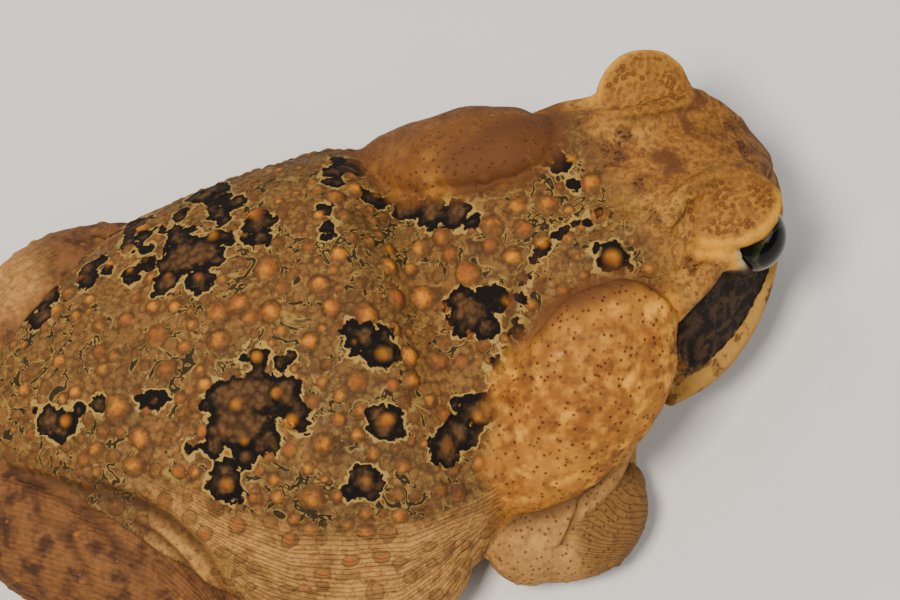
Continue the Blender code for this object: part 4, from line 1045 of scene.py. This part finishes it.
def skin_material():
    """The ground, warts, patches, head, gland and limbs, each laid over what comes before it."""
    paint = Paint("toad_skin")
    mark, step, mix, noise, cells = paint.mark, paint.step, paint.mix, paint.noise, paint.cells
    by, plus, most, swing, clouded = paint.by, paint.plus, paint.most, paint.swing, paint.clouded
    coarse, middle, fine = noise(16, 2), noise(4.5, 3, 0.6), noise(1.3, 2, 0.6)
    grains = cells(1.15, wild=0.9)
    trunk, head, fore = mark("trunk"), mark("head"), mark("fore")
    # Ground colour of the back, warmer along the spine, pale tan on the flanks.
    pale = most(mark("flank"), mark("pale"))
    colour = mix(step(coarse, 0.38, 0.62), OLIVE, WARM)
    colour = mix(by(mark("spine"), 0.6), colour, WARM)
    colour = mix(by(pale, 0.92), colour, mix(step(middle, 0.42, 0.8), FLANK, LEG))
    colour = clouded(colour, (fine, 0.52, 0.72, 0.35, OUTLINE), (middle, 0.5, 0.32, 0.5, DARK_BROWN))
    # Painted shade in the grooves between the grains, which the bump below sinks; less on the pale flanks.
    colour = mix(by(step(grains, 0.4, 0.8, 0.0, 0.55), step(pale, 0.0, 1.0, 1.0, 0.35)), colour, DARK_BROWN)
    colour = clouded(colour, (noise(0.7, 2, 0.7), 0.52, 0.66, 0.45, DARK_BROWN))
    # Warts: a darker brown body with painted shade in a ring at the foot, and an orange top that is partly
    # their own colour and partly a painted highlight.
    wart, tip_and_highlight = mark("wart"), mark("tip_and_highlight")
    foot = by(step(wart, 0.0, 0.12), step(wart, 0.4, 0.15))
    tip = by(step(plus(tip_and_highlight, swing(fine, 0.9)), 0.12, 0.95), 0.85)
    tip = by(tip, step(noise(0.7, 3, 0.6), 0.56, 0.68, 1.0, 0.5))
    tip = by(tip, step(pale, 0.0, 1.0, 1.0, 0.9))
    tone = mix(most(step(noise(6, 2), 0.45, 0.6), pale), WART_TIP, WART_RED)
    colour = mix(by(step(wart, 0.0, 0.3), 0.45), colour, WART_FOOT)
    colour = mix(by(foot, 0.4), colour, DARK_BROWN)
    colour = mix(tip, colour, tone)
    speckles = by(step(cells(2.6), 0.13, 0.06), by(pale, trunk))
    colour = mix(by(speckles, 0.7), colour, WART_FOOT)
    # Small cracks and isles and the large dark patches, all with a thin pale outline.
    open_back = by(trunk, step(pale, 0.5, 0.1))
    where, off_wart = noise(11, 2), step(wart, 0.35, 0.12)
    crack = paint.math("ABSOLUTE", paint.math("SUBTRACT", noise(7.5, 3, 0.6, 0.6), 0.5))
    isle = noise(2.7, 3, 0.6, 0.7)

    def on_back(shape, low, high):
        return by(shape, by(open_back, step(where, low, high)))

    dark_crack, dark_isle = step(crack, 0.024, 0.012), step(isle, 0.615, 0.63)
    pale_crack, pale_isle = step(crack, 0.032, 0.025), step(isle, 0.594, 0.606)
    dark_at = most(on_back(dark_crack, 0.47, 0.51), on_back(dark_isle, 0.4, 0.45))
    edge_at = most(on_back(pale_crack, 0.45, 0.48), on_back(pale_isle, 0.4, 0.43))
    colour = mix(by(by(edge_at, off_wart), 0.6), colour, OUTLINE)
    colour = mix(by(by(dark_at, off_wart), 0.92), colour, DARK)
    ragged = plus(swing(noise(1.7, 2, 0.5, 0.4), 3.2), swing(noise(4.2, 2), 3.6))
    depth = plus(mark("patch"), ragged)
    edge = by(step(depth, -0.72, -0.5), step(depth, -0.02, -0.15))
    colour = mix(by(by(edge, off_wart), 0.85), colour, OUTLINE)
    inside = step(depth, -0.12, 0.05)
    black = mix(step(plus(depth, swing(middle, 5.0)), 0.5, 2.6), DARK, PATCH_BROWN)
    # Painted shade in the grain grooves inside the patches.
    black = clouded(black, (grains, 0.3, 0.8, 0.6, DARK))
    # Warts inside the patches get the same top, partly a painted highlight.
    on_dark = mix(by(step(tip_and_highlight, 0.3, 0.95), 0.75), black, mix(0.3, tone, DARK_BROWN))
    colour = mix(inside, colour, on_dark)
    # Head, gland, lips, cheeks and lids.
    bone = mix(step(middle, 0.42, 0.66), BONE, BONE_DARK)
    bone = clouded(bone, (coarse, 0.46, 0.62, 0.75, BONE_PALE), (fine, 0.46, 0.66, 0.6, BONE_DARK))
    bone = mix(by(by(step(cells(1.0), 0.3, 0.1), step(noise(5, 2), 0.46, 0.6)), 0.6), bone, BONE_DARK)
    stain = plus(mark("stain"), swing(noise(2.4, 3, 0.65), 7.0))
    bone = clouded(bone, (noise(0.8, 2, 0.7), 0.47, 0.63, 0.6, BONE_DARK), (stain, -1.2, 0.8, 0.8, BONE_DARK))
    bone = mix(by(step(stain, -1.0, 0.4), step(noise(0.7, 2, 0.7), 0.5, 0.62)), bone, DARK_BROWN)
    colour = mix(by(head, paint.rest(inside)), colour, bone)
    pore = cells(1.25)
    pore_at = step(pore, 0.25, 0.08)
    # The gland's tones, darker round the pores as painted shade.
    gland = clouded(
        GLAND,
        (coarse, 0.4, 0.62, 0.5, GLAND_PALE),
        (middle, 0.45, 0.7, 0.5, BONE_DARK),
        (noise(2.2, 2, 0.6), 0.42, 0.72, 0.6, GLAND_PALE),
        (noise(4.6, 2, 0.6), 0.5, 0.72, 0.9, GLAND_GOLD),
        (noise(2.6, 2, 0.6), 0.5, 0.7, 0.6, BONE_DARK),
        (pore, 0.4, 0.16, 0.3, BONE_DARK),
    )
    # Painted shade in the pores, which the bump sinks.
    gland = mix(by(pore_at, 0.8), gland, PORE_SHADE)
    gland = mix(by(mark("gland_edge"), 0.95), gland, BONE_DARK)
    # Painted shade darkens the far gland.
    gland = mix(by(mark("far_side_shade"), 0.8), gland, BONE_DARK)
    colour = mix(mark("gland_tone"), colour, gland)
    cheek = mix(step(noise(2.2, 2, 0.6), 0.42, 0.62), CHEEK, CHEEK_BROWN)
    colour = mix(step(plus(mark("cheek"), swing(noise(2.6, 3, 0.65), 1.6)), 0.35, 0.65), colour, cheek)
    lip = mix(step(middle, 0.52, 0.64), LIP, LIP_DARK)
    colour = mix(step(plus(mark("lip"), swing(noise(2.2, 3), 1.1)), 0.42, 0.58), colour, lip)
    knob = mark("knob")
    lid = clouded(
        LID,
        (fine, 0.45, 0.62, 0.6, BONE_DARK),
        (knob, 0.05, 0.45, 0.85, LID_KNOB),
        (knob, 0.6, 1.0, 0.6, BONE),
        (middle, 0.45, 0.6, 0.5, BONE),
    )
    colour = mix(mark("lid"), colour, lid)
    colour = mix(mark("rim"), colour, mix(step(fine, 0.45, 0.7), RIM, BONE_PALE))
    # Wrinkles of the flank and thigh with painted shade along their furrows, then limbs and belly.
    flow = step(paint.waves(plus(mark("flow"), swing(fine, 1.5))), 0.75, 0.1)
    flowing = by(by(mark("flowing"), step(wart, 0.5, 0.1)), step(noise(3.0, 3), 0.35, 0.6, 0.25, 1.0))
    colour = mix(by(by(flow, flowing), 0.42), colour, FURROW_SHADE)
    arm = clouded(ARM, (middle, 0.48, 0.66, 0.5, FLANK), (noise(2.0, 2, 0.6), 0.45, 0.7, 0.45, LIP_DARK))
    arm = mix(by(fore, 0.65), arm, LIP_DARK)
    arm = clouded(arm, (cells(1.15), 0.36, 0.14, 0.85, ARM_SPOT))
    # Painted shade in the grooves between the forearm's fine rings.
    ring = by(step(paint.waves(mark("coil"), COIL_STEP), 0.45, 0.05), fore)
    arm = mix(by(ring, 0.28), arm, ARM_SPOT)
    # Painted shade in the grain grooves of the arms.
    colour = mix(mark("arm"), colour, clouded(arm, (grains, 0.5, 0.9, 0.15, ARM_SPOT)))
    leg = mix(step(middle, 0.42, 0.66), LEG, LEG_DARK)
    leg = mix(by(mark("tan"), step(fine, 0.3, 0.6, 1.0, 0.5)), leg, FLANK)
    # Wart tops on the legs, partly their own colour and partly a painted highlight.
    leg = mix(tip, leg, mix(0.5, WART_TIP, LEG))
    # Painted shade in the grain grooves of the legs.
    colour = mix(mark("leg"), colour, clouded(leg, (grains, 0.4, 0.8, 0.3, LEG_DARK)))
    belly = mix(step(noise(3.0, 3), 0.55, 0.66), BELLY, BELLY_SPOT)
    colour = mix(mark("belly"), colour, belly)
    # Painted shade in creases, wrinkles, under the gland, along the mouth line and in the nostrils; then the
    # eye's margin and brim.
    for name, share, tone in (
        ("crease_shade", 0.75, LEG_DARK),
        ("margin", 0.75, DARK_BROWN),
        ("brim", 0.6, BRIM),
        ("mouth", 0.85, DARK),
        ("nostril_shade", 0.95, DARK),
    ):
        colour = mix(by(mark(name), share), colour, tone)
    # Fine relief and a damp gloss.
    smooth_part = most(mark("gland"), by(head, 0.7))
    furrow = by(step(paint.waves(mark("flow")), 0.75, 0.1), mark("flowing"))
    normal = paint.bump(grains, -0.18, by(paint.rest(by(smooth_part, 0.55)), 0.8))
    normal = paint.bump(cells(0.9), -0.12, by(head, 0.8), normal)
    normal = paint.bump(by(pore_at, mark("gland")), -0.25, 0.9, normal)
    normal = paint.bump(plus(ring, furrow), -0.22, 0.8, normal)
    normal = paint.bump(noise(0.4, 2, 0.6), 0.11, 0.7, normal)
    rough = step(noise(0.9, 3), 0.3, 0.42, 0.42, 0.8)
    rough = most(rough, by(step(noise(0.6, 2), 0.3, 0.36), by(inside, 0.95)))
    return paint.finish(colour, rough, normal, Specular_IOR_Level=0.18)


def eye_material():
    """A black pupil in a gold iris and a dark ball, under a glossy cornea."""
    paint = Paint("toad_eye")
    off, spin = paint.mark("off"), paint.mark("spin")
    streak = paint.noise(0.5, 4, 0.7)
    gold = paint.mix(paint.step(streak, 0.42, 0.62), IRIS, IRIS_DARK)
    gold = paint.mix(paint.step(paint.noise(1.6, 2), 0.42, 0.6), gold, IRIS_GREEN)
    gold = paint.clouded(gold, (off, 1.04, 1.3, 0.88, IRIS_RIM))
    colour = paint.mix(paint.step(off, 1.0, 1.04), PUPIL, gold)
    colour = paint.mix(paint.step(spin, 0.93, 1.0), colour, EYEBALL)
    normal = paint.bump(paint.noise(1.2, 2), 0.01, 0.2)
    rough = paint.step(streak, 0.3, 0.7, 0.06, 0.12)
    return paint.finish(colour, rough, normal, IOR=1.25, Coat_Weight=0.12, Coat_Roughness=0.02, Coat_IOR=1.3)


def dress(obj, material, marks, replaced):
    """Gives a piece its marks, material and body, and hides the nodes that it stands for."""
    mesh = obj.data
    for name, values in marks.items():
        mesh.attributes.new(name, "FLOAT", "POINT").data.foreach_set("value", values.astype(np.float32))
    mesh.polygons.foreach_set("use_smooth", [True] * len(mesh.polygons))
    mesh.materials.clear()
    mesh.materials.append(material)
    mesh.update()
    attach(obj, "root")
    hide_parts(*replaced)


def build_eye(side, shift, material):
    """An eyeball whose iris faces out, a little forward and up."""
    gaze = unit(np.array(mirrored((GAZE,), side)[0]))
    level = unit(np.cross((0, 0, 1), gaze))
    ball, faces = icosphere(6)
    x, y, ahead = np.array(ball).T
    ways = np.outer(x, level) + np.outer(y, np.cross(gaze, level)) + np.outer(ahead, gaze)
    points = bend(ways * EYE_RADIUS + mirrored((EYE_AT,), side)[0])
    eye = closed_body("eyeball_" + SIDES[side], points + shift, faces)
    marks = {
        "off": np.where(ahead > 0, np.hypot(x / PUPIL_SHAPE[0], y / PUPIL_SHAPE[1]), 3.0),
        "spin": np.where(ahead > 0, np.hypot(x, y) / IRIS_SHARE, 3.0),
    }
    dress(eye, material, marks, ["eye_" + SIDES[side]])


def frame_shift():
    """From the forms' own place to the frame's, by the eyes."""
    shifts = []
    for side, name in SIDES.items():
        low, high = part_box("eye_" + name)
        shifts.append(np.array((low + high) / 2) / MM - on_side(EYE_AT, side))
    return np.mean(shifts, axis=0)


def finish_skin(skin, shift, material):
    """Pushes the skin out, keeps it on the floor and dresses it."""
    points = skin.points + skin.normals * skin.push[:, None]
    points[:, 2] = np.maximum(points[:, 2], 0)
    skin.obj.data.vertices.foreach_set("co", ((points + shift) * MM).astype(np.float32).ravel())
    flesh = [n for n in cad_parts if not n.startswith("eye_")]
    dress(skin.obj, material, skin.marks, flesh)


def build_floor():
    corners = [(x * FLOOR_HALF, y * FLOOR_HALF, 0) for x, y in ((-1, -1), (1, -1), (1, 1), (-1, 1))]
    floor = mesh_object("floor", corners, [(0, 1, 2, 3)])
    paint = Paint("floor")
    colour = paint.mix(paint.noise(60, 3), *FLOOR_COLOURS)
    floor.data.materials.append(paint.finish(colour, 0.75, paint.bump(paint.noise(2, 3), 0.05, 0.2)))


def build_camera(shift):
    look, right, up, start = view_axes()
    data = bpy.data.cameras.new("camera")
    data.lens, data.sensor_width = LENS, SENSOR
    data.clip_start, data.clip_end = 0.01, 10
    camera = linked("camera", data)
    turn = Matrix((right, up, -look)).transposed().to_4x4()
    camera.matrix_world = Matrix.Translation((start + Vector(shift)) * MM) @ turn
    bpy.context.scene.camera = camera


def build_lights():
    """A soft key light, a fill, one from behind, and a dim even surround."""
    for name, at, size, watts, tone in LIGHTS:
        data = bpy.data.lights.new(name, "AREA")
        data.size, data.energy, data.color = size, watts, tone
        light = linked(name, data)
        light.location = at
        light.rotation_euler = (-Vector(at)).to_track_quat("-Z", "Y").to_euler()
    world = bpy.data.worlds.new("surround")
    world.use_nodes = True
    background = world.node_tree.nodes["Background"]
    background.inputs["Color"].default_value, background.inputs["Strength"].default_value = SURROUND
    bpy.context.scene.world = world


shift = frame_shift()
build_camera(shift)
build_lights()
build_floor()
skin = build_skin()
for lay in (lay_regions, lay_folds, lay_eyes, lay_head, lay_warts, lay_patches):
    lay(skin)
finish_skin(skin, shift, skin_material())
eye_paint = eye_material()
for side in SIDES:
    build_eye(side, shift, eye_paint)
